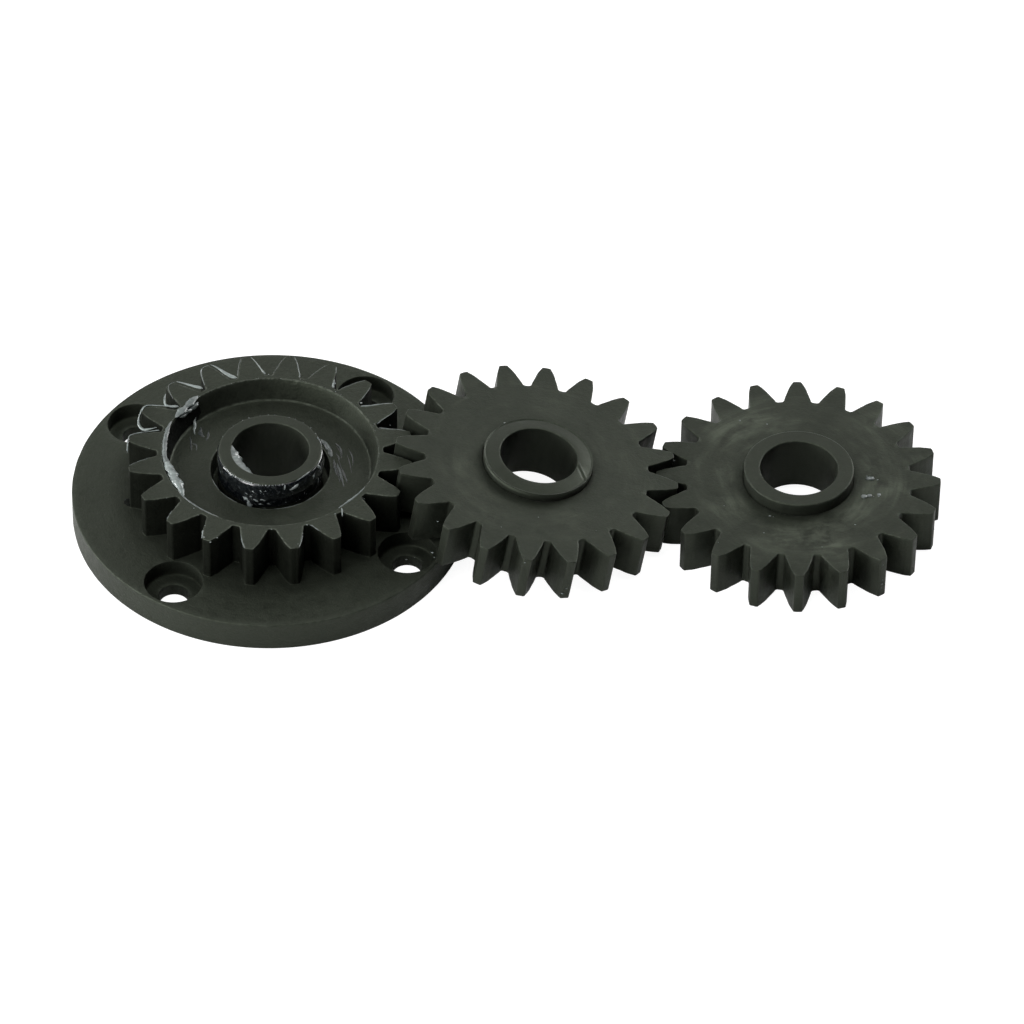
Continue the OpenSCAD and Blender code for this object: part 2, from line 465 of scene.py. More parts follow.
    fill(B, outer_top, [foot_loop] + heads, pts_in[kk], ztop2, wear=0.0)
    ea = np.arange(NE) * 2 * PI / NE
    edge = np.array([0.03 * nz(math.cos(a) * 14, math.sin(a) * 14, 6.0) for a in ea]) - 0.02
    prof = [(FLANGE_R - er, FLANGE_T)]
    wr = [0.15]
    for i in range(1, 5):
        p = PI / 2 * i / 4
        prof.append((FLANGE_R - er * (1 - math.sin(p)) + edge * math.sin(p), FLANGE_T - er * (1 - math.cos(p)))); wr.append(0.3 if i < 4 else 0.1)
    for z in (4.3, 3.4, 2.5, 1.6, 0.8, 0.22):
        prof.append((FLANGE_R + edge, z)); wr.append(0.0)
    for i in range(1, 4):
        p = PI / 2 * i / 3
        prof.append((FLANGE_R - 0.2 * (1 - math.cos(p)) + edge * (1 - i / 3), 0.2 * (1 - math.sin(p)))); wr.append(0.6)
    lathe(B, ea, prof, wr)
    inner_low = np.stack([8.2 * np.cos(ang), 8.2 * np.sin(ang)], 1)
    lows = [circle(c, thru_r + 0.08, 48, a) for c, a in zip(centres, hole_a)]
    pl = []
    for r in np.arange(9.2, FLANGE_R - 0.8, 1.5):
        m = int(2 * PI * r / 1.6)
        for i in range(m):
            a = 2 * PI * (i + 0.5 * (int(r * 10) % 2)) / m
            pl.append((r * math.cos(a), r * math.sin(a)))
    pl = np.array(pl)
    kk = np.ones(len(pl), bool)
    for c in centres:
        kk &= np.hypot(pl[:, 0] - c[0], pl[:, 1] - c[1]) > thru_r + 0.5
    fill(B, circle((0, 0), FLANGE_R - 0.2, NE), [inner_low] + lows, pl[kk], lambda x, y: 0.0, wear=0.0)
    for c, a in zip(centres, hole_a):
        def ring(prof, wr, m):
            t = a + np.arange(m) * 2 * PI / m
            gg = [np.stack([c[0] + r * np.cos(t), c[1] + r * np.sin(t), np.full(m, z)], 1) for r, z in prof]
            B.grid(np.array(gg), closed=True, wear=np.array(wr)[:, None] * np.ones(m))
        prof, wr = [], []
        for i in range(4):
            p = PI / 2 * i / 3
            prof.append((head_r + hr * (1 - math.sin(p)), FLANGE_T - hr * (1 - math.cos(p)))); wr.append(0.2)
        for z in (FLANGE_T - 0.5, FLANGE_T - 1.2, FLANGE_T - 2.0, floor_h + 0.3):
            prof.append((head_r, z)); wr.append(0.0)
        prof += [(head_r - 0.08, floor_h + 0.09), (head_r - 0.3, floor_h)]; wr += [0.0, 0.0]
        ring(prof, wr, 72)
        # counterbore floor, from 72 to 48 columns
        oc, ic = circle(c, head_r - 0.3, 72, a), circle(c, thru_r + 0.1, 48, a)
        mid = np.concatenate([circle(c, rr, m, a + 0.05) for rr, m in ((3.6, 40), (2.95, 36))])
        fill(B, oc, [ic], mid, lambda x, y: floor_h, wear=0.0)
        ring([(thru_r + 0.1, floor_h), (thru_r + 0.03, floor_h - 0.03), (thru_r, floor_h - 0.12), (thru_r, 1.4), (thru_r, 0.7),
              (thru_r, 0.12), (thru_r + 0.02, 0.03), (thru_r + 0.08, 0.0)], [0.6, 0.6, 0.1, 0, 0, 0, 0.3, 0.3], 48)
    return B.done("flange_gear_body")


# ---------------------------------------------------------------- idler and planet gears, top face at z = 0
def make_gear(name, phase, matrix, seed, ragged=(), top_dip=0.0):
    B = Build()
    e = 0.12

    def special(pts, P):
        d = np.zeros(len(pts))
        for i, (r, a) in enumerate(pts):
            k = ((a - phase) / TA) % TEETH
            for kc, wdt, amt in ragged:
                dk = min(abs(k - kc), TEETH - abs(k - kc))
                if dk < wdt and r > 18.2:
                    d[i] -= amt * (0.5 + 0.5 * nz(r * 2.6, k * 26, seed * 1.7))
        return d

    P, n, pts = outline(phase, 0.018, seed, special)

    def zf(x, y):
        return 0.012 * nz(x, y, seed * 2.0, 0.4) + 0.004 * nz(x, y, seed * 4.0, 1.6)

    ee = np.array([0.55 + 0.7 * abs(nz(x, y, seed + 5.5, 1.1)) for x, y in P]) * e
    zr = np.zeros(len(P))
    for i, (r, a) in enumerate(pts):
        k = ((a - phase) / TA) % TEETH
        for kc, wdt, amt in ragged:
            dk = min(abs(k - kc), TEETH - abs(k - kc))
            if dk < wdt and r > 18.0:
                zr[i] += amt * 0.7 * max(0.0, nz(r * 3.3, k * 31, seed * 2.9))
    Q = P - n * ee[:, None]
    zq = np.array([zf(x, y) for x, y in Q])
    steps = 3
    rows = [(-ee, zq)]
    for i in range(1, steps + 1):
        p = PI / 2 * i / steps
        rows.append((-ee * (1 - math.sin(p)), -ee * (1 - math.cos(p)) + zr * math.cos(p)))
    wear = [1.0, 1.0, 0.7, 0.2]
    for z in np.linspace(-0.7, -FACE_W + 0.6, 8):
        rows.append((0.0, z)); wear.append(0.0)
    for i in range(steps + 1):
        p = PI / 2 * (1 - i / steps)
        rows.append((-ee * (1 - math.sin(p)), -FACE_W + ee * (1 - math.cos(p)))); wear.append([0.2, 0.7, 1.0, 1.0][i])
    loop_rows(B, P, n, rows, wear)
    bore = SLEEVE_R + 0.05
    br = 0.1
    ang, inner, z0 = tooth_face(B, Q, bore + br, zf, 12, 1.0)
    ang2, inner2, z1 = tooth_face(B, Q, bore + br, lambda x, y: -FACE_W, 6, 1.0)
    prof = [(bore + br, z0), (bore + 0.03, -0.03), (bore, -br)]
    for z in (-0.8, -2.2, -3.85, -5.5, -6.9, -FACE_W + br):
        prof.append((bore, z))
    prof += [(bore + 0.03, -FACE_W + 0.03), (bore + br, -FACE_W)]
    lathe(B, ang, prof, [0.4, 0.4, 0.0] + [0.0] * 6 + [0.2, 0.2])
    return B.done(name, matrix)


def make_bush(name, r_out, z_low, z_top, seed, matrix=None, edge=0.22, bore_edge=0.2, special=None, ragged=0.0):
    """A plain bearing bush with broken edges and turned faces."""
    B = Build()
    N = 288
    ang = np.arange(N) * 2 * PI / N
    prof, wear = [], []
    j = rnd(seed).uniform(-1, 1, N)
    rag = ragged * (0.5 + 0.5 * np.sin(ang - 0.2)) * np.array([abs(nz(math.cos(t) * 12, math.sin(t) * 12, seed)) for t in ang]) * 2

    def top(r):
        z = np.array([z_top + 0.008 * nz(math.cos(t) * r, math.sin(t) * r, seed, 0.9) for t in ang])
        if special is not None:
            z = z + special(r, ang)
        return z

    def rr(r, s=1.0):
        return r + 0.012 * s * np.array([nz(math.cos(t) * 4, math.sin(t) * 4, seed + r) for t in ang])

    # down the bore
    for z in (z_low + 0.2, z_low + (z_top - z_low) * 0.3, z_low + (z_top - z_low) * 0.6, z_top - 1.0, z_top - bore_edge):
        prof.append((rr(BORE_R), z)); wear.append(0.0)
    for i in range(1, 4):
        p = PI / 2 * i / 4
        prof.append((rr(BORE_R + bore_edge * (1 - math.cos(p))), top(BORE_R + 0.1) - bore_edge * (1 - math.sin(p)))); wear.append(0.9)
    rs = np.linspace(BORE_R + bore_edge, r_out - edge, 14)
    for r in rs:
        prof.append((r, top(r))); wear.append(0.8 if r in (rs[0], rs[-1]) else 0.0)
    for i in range(1, 5):
        p = PI / 2 * i / 4
        prof.append((rr(r_out - edge * (1 - math.sin(p))) - 0.012 + rag * math.sin(p), top(r_out - edge) * (1 - i / 4) + (z_top * i / 4) - edge * (1 - math.cos(p)))); wear.append(0.9 if i < 4 else 0.3)
    h = z_top - z_low
    for f in (0.1, 0.2, 0.35, 0.5, 0.7, 0.9):
        z = z_top - edge - (h - edge - 0.2) * f
        prof.append((r_out - 0.012 + rag * max(0.0, 1 - f * 8), z)); wear.append(0.0)
    prof += [(r_out - 0.02, z_low + 0.15), (r_out - 0.15, z_low), (BORE_R + 0.15, z_low), (BORE_R + 0.02, z_low + 0.1)]
    wear += [0.0, 0.3, 0.3, 0.0]
    prof.append(prof[0]); wear.append(0.0)
    lathe(B, ang, prof, wear)
    return B.done(name, matrix)


# ---------------------------------------------------------------- grease and flakes
def spline(pts, step):
    """Catmull-Rom through rows of numbers, the first three of which are a place."""
    p = np.array(pts, float)
    p = np.concatenate([[2 * p[0] - p[1]], p, [2 * p[-1] - p[-2]]])
    out = []
    for i in range(1, len(p) - 2):
        d = np.linalg.norm(p[i + 1, :3] - p[i, :3])
        m = max(2, int(math.ceil(d / step)))
        for t in np.arange(m) / m:
            a, b, c, e = p[i - 1], p[i], p[i + 1], p[i + 2]
            out.append(0.5 * (2 * b + (c - a) * t + (2 * a - 5 * b + 4 * c - e) * t * t + (3 * b - a - 3 * c + e) * t ** 3))
    out.append(p[-2])
    return np.array(out)


def bead(B, pts, seed, up=(0, 0, 1), step=0.12, lump=0.35, sides=12, shade=0.0, freq=1.6):
    """A smear of grease along pts = (x, y, z, half width, half height): a lumpy, tapering, closed tube."""
    s = spline(pts, step)
    c = s[:, :3]
    hw, hh = np.clip(s[:, 3], 0.02, None), np.clip(s[:, 4], 0.015, None)
    t = np.gradient(c, axis=0)
    t /= np.linalg.norm(t, axis=1)[:, None] + 1e-12
    up = np.array(up, float)
    side = np.cross(t, up)
    side /= np.linalg.norm(side, axis=1)[:, None] + 1e-12
    upv = np.cross(side, t)
    n = len(c)
    arcl = np.concatenate([[0], np.cumsum(np.linalg.norm(np.diff(c, axis=0), axis=1))])
    L = arcl[-1]
    cap = np.clip(np.minimum(arcl, L - arcl) / max(1e-6, min(0.45 * L, 0.5)), 0, 1)
    cap = np.sqrt(1 - (1 - cap) ** 2)
    cap = np.clip(cap, 0.04, 1)
    ph = np.arange(sides) * 2 * PI / sides
    g = []
    for i in range(n):
        row = []
        for f in ph:
            x = c[i]
            k = 1 + lump * (nz(x[0] + math.cos(f) * hw[i], x[1] + math.sin(f) * hh[i], x[2] + seed * 3.7, freq) * 1.4
                            + 0.5 * nz(x[0] + math.cos(f), x[1] + seed, x[2] + math.sin(f), freq * 2.7))
            row.append(x + side[i] * math.cos(f) * hw[i] * k * cap[i] + upv[i] * math.sin(f) * hh[i] * k * cap[i])
        g.append(row)
    g = np.array(g)
    B.grid(g, closed=True, wear=shade)
    for end, row in ((0, g[0]), (1, g[-1])):
        mid = row.mean(0)
        v = np.concatenate([row, [mid]])
        B.add(v, [(i, (i + 1) % sides, sides) for i in range(sides)], shade)


def shell(B, outer, inner, wear=0.0):
    """A closed skin from two grids of the same size."""
    B.grid(outer, wear=wear)
    B.grid(inner[::-1], wear=wear)
    for side_o, side_i in ((outer[0], inner[0]), (outer[-1], inner[-1]), (outer[:, 0], inner[:, 0]), (outer[:, -1], inner[:, -1])):
        B.grid(np.array([side_o, side_i]), wear=wear)


def flake(B, x, y, z, size, seed, flat=0.35, wear=0.0, up=(0, 0, 1)):
    """A small angular crumb."""
    g = rnd(seed)
    n_lat, n_lon = 5, 8
    u = Vector(up).normalized()
    q = Vector((0, 0, 1)).rotation_difference(u).to_matrix()
    rows = []
    for i in range(1, n_lat):
        th = PI * i / n_lat
        row = []
        for j in range(n_lon):
            f = 2 * PI * j / n_lon
            k = 1 + g.uniform(-0.3, 0.3)
            p = Vector((size * k * math.sin(th) * math.cos(f), size * k * 0.75 * math.sin(th) * math.sin(f), size * flat * k * math.cos(th)))
            p = q @ p
            row.append([x + p.x, y + p.y, z + p.z])
        rows.append(row)
    rows = np.array(rows)
    B.grid(rows, closed=True, wear=wear)
    for row, dz in ((rows[0], 1), (rows[-1], -1)):
        m = row.mean(0) + np.array(q @ Vector((0, 0, dz * size * flat * 0.3)))
        v = np.concatenate([row, [m]])
        B.add(v, [(i, (i + 1) % n_lon, n_lon) for i in range(n_lon)], wear)


def on_edge(k, side, r):
    """A place on the sun gear's tooth edge: tooth k, side -1 or +1, at radius r."""
    if r < FOOT_R:
        hb = half_tooth(FOOT_R)
        turn = math.asin(FILLET / ROOT_R)
        f = (FOOT_R - r) / FILLET
        a = hb + turn * f
    else:
        a = half_tooth(min(r, TIP_R - 0.15))
    t = SUN_PHASE + k * TA + side * a
    return r * math.cos(t), r * math.sin(t)


def edge_line(B, k, side, r0, r1, w0, w1, seed, z=None, h=0.6, shade=0.0, root=False, lump=0.3):
    """Grease along a tooth's top edge."""
    z = SUN_H - 0.03 if z is None else z
    pts = []
    for f in np.linspace(0, 1, 5):
        r = r0 + (r1 - r0) * f
        x, y = on_edge(k, side, r)
        w = w0 + (w1 - w0) * f
        pts.append((x, y, z, w, w * h))
    if root:
        t = SUN_PHASE + (k + side * 0.43) * TA
        pts.append((ROOT_R * math.cos(t), ROOT_R * math.sin(t), z, w1 * 0.9, w1 * h * 0.9))
    bead(B, pts, seed, shade=shade, lump=lump, step=0.1, freq=2.2)


def pol(r, deg, z, w, h):
    a = math.radians(deg)
    return (r * math.cos(a), r * math.sin(a), z, w, h)


def run(B, pts, seed, h=0.5, z=None, **kw):
    """A bead through (radius, angle, half width) points; z is its height above the flange's underside."""
    z = SUN_H if z is None else z
    bead(B, [pol(q[0], q[1], q[3] if len(q) > 3 else z, q[2], max(0.02, q[2] * h)) for q in pts], seed, **kw)


def make_grease_sun():
    B = Build()
    T = SUN_H
    fl = T - 3.5
    # round the recess rim: a film over the edge, a thin run, then a thick blob that hangs inwards
    run(B, [(16.95, 133.2, 0.16), (16.8, 136.3, 0.56), (16.6, 139.6, 0.72), (16.5, 143.6, 0.42), (16.5, 147.2, 0.6), (16.55, 151.3, 0.46), (16.6, 154.2, 0.16)], 1, h=0.42, lump=0.3, freq=1.2, shade=0.42, sides=16)
    run(B, [(16.2, 135.6, 0.2, T - 0.3), (16.1, 139.2, 0.5, T - 0.6), (16.1, 143, 0.34, T - 0.55), (16.1, 147.5, 0.46, T - 0.55), (16.2, 151.5, 0.2, T - 0.4)], 2, h=0.8, lump=0.35, freq=1.2, shade=0.6, sides=16)
    run(B, [(16.75, 157, 0.1), (16.7, 161, 0.2), (16.56, 165.7, 0.34), (16.4, 171.6, 0.36), (16.3, 179, 0.36), (16.2, 186, 0.36), (16.1, 191, 0.44)], 3, h=0.5, z=T - 0.02, lump=0.3, freq=1.4, shade=0.5, sides=14)
    run(B, [(16.15, 188, 0.3), (15.9, 193, 0.56), (15.65, 198, 0.7), (15.75, 203.4, 0.6), (15.65, 207.6, 0.72), (15.85, 212, 0.62), (16.2, 216.2, 0.34), (16.5, 219, 0.12)], 4, h=0.62, z=T - 0.16, lump=0.34, freq=1.0, shade=0.16, sides=18)
    for i, (r, a, w) in enumerate(((15.6, 197.5, 0.26), (15.7, 208.2, 0.3), (15.5, 203, 0.16), (16.5, 168, 0.12), (16.3, 181, 0.12))):
        flake(B, r * math.cos(math.radians(a)), r * math.sin(math.radians(a)), T + 0.14, w, 240 + i, 0.5, wear=0.05)
    # thin lines on the near rim
    run(B, [(16.66, -144, 0.05), (16.62, -137, 0.09), (16.6, -130, 0.1), (16.6, -122, 0.08), (16.6, -116, 0.04)], 5, h=0.5, z=T + 0.01, lump=0.5, shade=0.5)
    run(B, [(16.55, -49, 0.05), (16.5, -45, 0.12), (16.5, -40, 0.15), (16.55, -35, 0.12), (16.6, -31, 0.08), (16.65, -27, 0.04)], 6, h=0.5, z=T + 0.01, lump=0.4, shade=0.3)
    run(B, [(16.8, -47.6, 0.08), (17.3, -48.4, 0.11), (17.9, -50, 0.08), (18.4, -51.2, 0.04)], 7, h=0.5, z=T + 0.01, lump=0.5, shade=0.2)
    # drop on the recess wall and its smear on the floor
    run(B, [(15.95, 138.6, 0.14, fl + 1.1), (15.7, 140.6, 0.26, fl + 0.55), (15.1, 142.9, 0.24, fl + 0.12), (14.4, 147, 0.12, fl + 0.04), (13.9, 149, 0.06, fl + 0.02)], 8, h=0.7, lump=0.4, shade=0.15)
    for i, (q, w, sh) in enumerate(((((14.3, 141), (13.4, 145.8), (12.4, 147.5)), 0.3, 0.84), (((13.4, 157), (12.54, 157.8), (12.08, 163.1)), 0.14, 0.84), (((14.4, 152), (13.3, 159.3), (12.9, 164)), 0.16, 0.92), (((12.9, 140), (12.0, 146), (11.7, 150)), 0.18, 0.9))):
        run(B, [(q[0][0], q[0][1], w * 0.4), (q[1][0], q[1][1], w), (q[2][0], q[2][1], w * 0.35)], 20 + i, h=0.2, z=fl + 0.01, lump=0.6, shade=sh, freq=2.0)
    # pale smear and wrinkled streaks on the recess floor, right of the bush; the streaks with shade 1.0 are thin black
    # beads beside them, painted shade in the wrinkles' grooves
    run(B, [(10.1, 42, 0.1), (10.05, 36, 0.34), (9.98, 29, 0.42), (9.85, 22, 0.36), (9.7, 16, 0.12)], 30, h=0.4, z=fl + 0.04, lump=0.35, shade=0.42, freq=1.4, sides=14)
    for i, (q, w, sh) in enumerate((
            (((10.0, 13), (9.9, 4), (10.4, -8)), 0.16, 0.84), (((10.33, 8), (10.89, -4.7), (12.14, -19.1)), 0.2, 0.8), (((10.7, 10), (11.2, -3), (12.4, -15)), 0.09, 1.0),
            (((10.1, 8), (10.4, -3), (11.3, -16)), 0.09, 1.0), (((11.5, 31), (11.65, 24), (11.5, 16)), 0.13, 0.86), (((11.3, 28), (11.35, 20), (11.2, 12)), 0.07, 1.0),
            (((12.8, 22), (12.9, 12), (12.7, 3)), 0.09, 0.88), (((12.2, 16), (12.3, 6), (12.6, -4)), 0.07, 1.0), (((11.1, 0), (11.7, -8), (12.3, -13)), 0.12, 0.86), (((10.6, 20), (10.8, 14), (10.6, 9)), 0.1, 0.86))):
        run(B, [(q[0][0], q[0][1], w * 0.3), (q[1][0], q[1][1], w), (q[2][0], q[2][1], w * 0.3)], 31 + i, h=0.42, z=fl + 0.02, lump=0.5, shade=sh, freq=1.9)
    # light catches on the groove's edge
    for i, (a0, a1) in enumerate(((-163, -146), (-143, -121), (-84, -56), (-53, -29))):
        run(B, [(9.25, a0 + (a1 - a0) * f, w) for f, w in ((0, 0.02), (0.25, 0.045), (0.5, 0.05), (0.75, 0.045), (1, 0.02))], 90 + i, h=0.6, z=fl, lump=0.5, shade=0.45)
    # along the tooth edges: two straight wedges, the rest thin lines
    run(B, [(21.7, 134.4, 0.05), (20.75, 133.0, 0.12), (19.49, 131.2, 0.2), (18.3, 129.0, 0.27), (17.8, 128.0, 0.12)], 41, h=0.4, z=T + 0.02, lump=0.16, shade=0.0)
    run(B, [(22.0, 117.2, 0.05), (21.4, 116.1, 0.1), (20.1, 114.4, 0.2), (18.79, 112.7, 0.29), (17.9, 110.6, 0.34), (17.6, 109.0, 0.14)], 42, h=0.4, z=T + 0.02, lump=0.16, shade=0.0)
    run(B, [(21.98, 117.4, 0.03), (21.95, 120.2, 0.05), (21.5, 122.0, 0.11), (20.6, 123.4, 0.07), (19.18, 125.0, 0.05), (18.2, 126.1, 0.06)], 43, h=0.6, lump=0.3, shade=0.35)
    run(B, [(21.9, 104.0, 0.03), (20.39, 106.0, 0.04), (18.01, 108.6, 0.05)], 44, h=0.6, lump=0.3, shade=0.6)
    run(B, [(21.7, 134.6, 0.03), (21.95, 137.0, 0.04), (21.4, 139.6, 0.045), (19.23, 143.5, 0.04)], 45, h=0.6, lump=0.3, shade=0.6)
    edge_line(B, 5, -1, 21.9, 17.7, 0.04, 0.15, 46, shade=0.15, lump=0.25)
    edge_line(B, 4, -1, 21.9, 17.8, 0.04, 0.07, 47, shade=0.25, lump=0.35)
    edge_line(B, 4, 1, 21.9, 18.2, 0.03, 0.03, 48, shade=0.75)
    edge_line(B, 3, -1, 21.9, 20.5, 0.05, 0.05, 49, shade=0.35)
    edge_line(B, 3, -1, 19.2, 17.6, 0.06, 0.2, 50, root=True, shade=0.1)
    edge_line(B, 3, 1, 21.6, 18.4, 0.03, 0.035, 51, shade=0.8)
    edge_line(B, 2, 1, 21.9, 18.0, 0.04, 0.05, 52, shade=0.55)
    edge_line(B, 2, -1, 21.4, 18.2, 0.04, 0.06, 53, shade=0.5)
    edge_line(B, 1, 1, 21.9, 17.5, 0.06, 0.14, 54, root=True, shade=0.3)
    edge_line(B, 1, -1, 21.4, 17.6, 0.04, 0.07, 55, shade=0.4)
    edge_line(B, 0, 1, 21.4, 17.6, 0.04, 0.09, 56, shade=0.45)
    edge_line(B, 10, -1, 21.9, 18.4, 0.04, 0.05, 57, shade=0.55)
    edge_line(B, 12, -1, 21.8, 19.9, 0.05, 0.05, 58, shade=0.6)
    edge_line(B, 13, -1, 21.95, 20.2, 0.15, 0.09, 59, shade=0.25, lump=0.6)
    edge_line(B, 14, -1, 21.95, 19.0, 0.08, 0.04, 60, shade=0.35, lump=0.6)
    edge_line(B, 15, 1, 21.95, 19.4, 0.07, 0.05, 61, shade=0.4, lump=0.6)
    edge_line(B, 16, -1, 19.4, 17.5, 0.05, 0.07, 62, shade=0.45)
    # strings between and below the left teeth
    run(B, [(20.9, 142.8, 0.06), (20.5, 145.0, 0.12), (19.6, 148.2, 0.15), (18.9, 148.4, 0.2), (18.1, 147.2, 0.27), (17.5, 146.0, 0.2)], 70, h=0.6, z=T - 0.02, lump=0.3, shade=0.1)
    run(B, [(17.6, 147.0, 0.12), (19.0, 148.9, 0.08), (20.4, 150.9, 0.07), (21.8, 153.0, 0.09), (22.05, 155.0, 0.13), (22.0, 156.8, 0.14), (22.06, 158.4, 0.12, T - 0.5), (22.0, 159.6, 0.17, T - 1.2), (21.6, 161.2, 0.25, T - 1.6),
            (21.0, 162.4, 0.28, T - 1.7), (20.2, 162.8, 0.24, T - 1.5), (19.3, 161.9, 0.14, T - 1.2), (18.4, 160.6, 0.07, T - 0.9)], 71, h=0.7, lump=0.32, shade=0.08, step=0.15)
    run(B, [(17.8, 166.0, 0.12), (19.4, 168.3, 0.07), (20.9, 170.3, 0.06), (21.9, 172.2, 0.08), (22.05, 174.2, 0.1), (22.05, 176.4, 0.1, T - 0.3), (22.04, 177.8, 0.1, T - 1.0), (21.95, 178.2, 0.06, T - 1.7)], 72, h=0.7, lump=0.4, shade=0.2)
    # crumbs of grease
    for i, (r, k, z, s) in enumerate(((18.3, 2.62, T + 0.03, 0.26), (17.8, 1.55, T + 0.02, 0.2), (17.7, 3.62, T + 0.02, 0.14),
                                      (17.6, 4.5, T + 0.02, 0.12), (19.4, 0.42, T, 0.09), (20.9, 13.2, T + 0.02, 0.14), (21.6, 12.92, T + 0.02, 0.2), (21.9, 13.1, T - 0.25, 0.16),
                                      (19.3, 12.74, T + 0.02, 0.1), (17.5, 14.5, T + 0.02, 0.1), (17.5, 15.5, T + 0.02, 0.12), (21.2, 15.1, T + 0.02, 0.08),
                                      (17.3, 16.4, T + 0.02, 0.12), (17.2, 12.1, T + 0.02, 0.1), (18.0, 17.4, T + 0.02, 0.07), (17.2, 0.6, T + 0.02, 0.07))):
        a = SUN_PHASE + k * TA
        flake(B, r * math.cos(a), r * math.sin(a), z, s, 300 + i, 0.45, wear=0.2)
    g = rnd(77)
    for i in range(70):       # sparkles of dried grease along the rim and the tooth edges
        a = math.radians(g.uniform(-40, 205))
        r = 16.68 + g.uniform(-0.1, 0.3)
        flake(B, r * math.cos(a), r * math.sin(a), T + 0.01, g.uniform(0.03, 0.07), 400 + i, 0.5, wear=g.uniform(0.15, 0.75))
    for i in range(56):
        k = int(g.integers(0, 20)); sd = int(g.choice([-1, 1])); r = g.uniform(17.6, 21.9)
        x, y = on_edge(k, sd, r)
        flake(B, x, y, T - 0.01, g.uniform(0.03, 0.07), 500 + i, 0.5, wear=g.uniform(0.15, 0.75))
    # a few bits on the flange by the near right hole
    for i, (x, y, s) in enumerate(((21.4, -15.6, 0.16), (21.9, -16.6, 0.1), (20.6, -16.9, 0.08), (22.6, -15.1, 0.08))):
        flake(B, x, y, FLANGE_T + 0.02, s, 600 + i, 0.35, wear=0.5)
    return B.done("grease_on_teeth")


def make_black_patches():
    """A black skin over the left of the recess wall and a flat black blob in the foot of a tooth space; they make both
    places darker.
    """
    B = Build()
    z = FLANGE_T
    bead(B, [pol(22.9, 190.6, z, 0.2, 0.05), pol(22.4, 190.4, z + 0.02, 0.8, 0.12), pol(21.6, 190.8, z + 0.03, 1.05, 0.16), pol(20.6, 191.6, z + 0.03, 0.9, 0.16), pol(19.4, 192.6, z + 0.02, 0.5, 0.14)], 81, lump=0.12, freq=0.7, step=0.2, sides=16, shade=1.0)
    fl = SUN_H - 3.5
    na, nzv = 90, 18
    A = np.linspace(math.radians(134), math.radians(196), na)
    out = np.zeros((nzv, na, 3)); inn = np.zeros((nzv, na, 3))
    for j, a in enumerate(A):
        d = math.degrees(a)
        ends = max(0.0, min(1.0, (d - 134) / 9, (196 - d) / 9)) ** 0.6
        for i in range(nzv):
            v = i / (nzv - 1)
            z = SUN_H - 0.35 - v * 3.0
            wall = 15.5 + (z - fl) * 1.1 / 3.5
            t = (0.1 + 0.1 * nz(math.cos(a) * 16, math.sin(a) * 16, z, 0.8)) * ends * max(0.0, min(1.0, v / 0.1, (1 - v) / 0.12)) ** 0.6 - 0.03
            out[i, j] = ((wall - t) * math.cos(a), (wall - t) * math.sin(a), z)
            inn[i, j] = ((wall + 0.2) * math.cos(a), (wall + 0.2) * math.sin(a), z)
    shell(B, out, inn, wear=1.0)
    return B.done("black_patches")


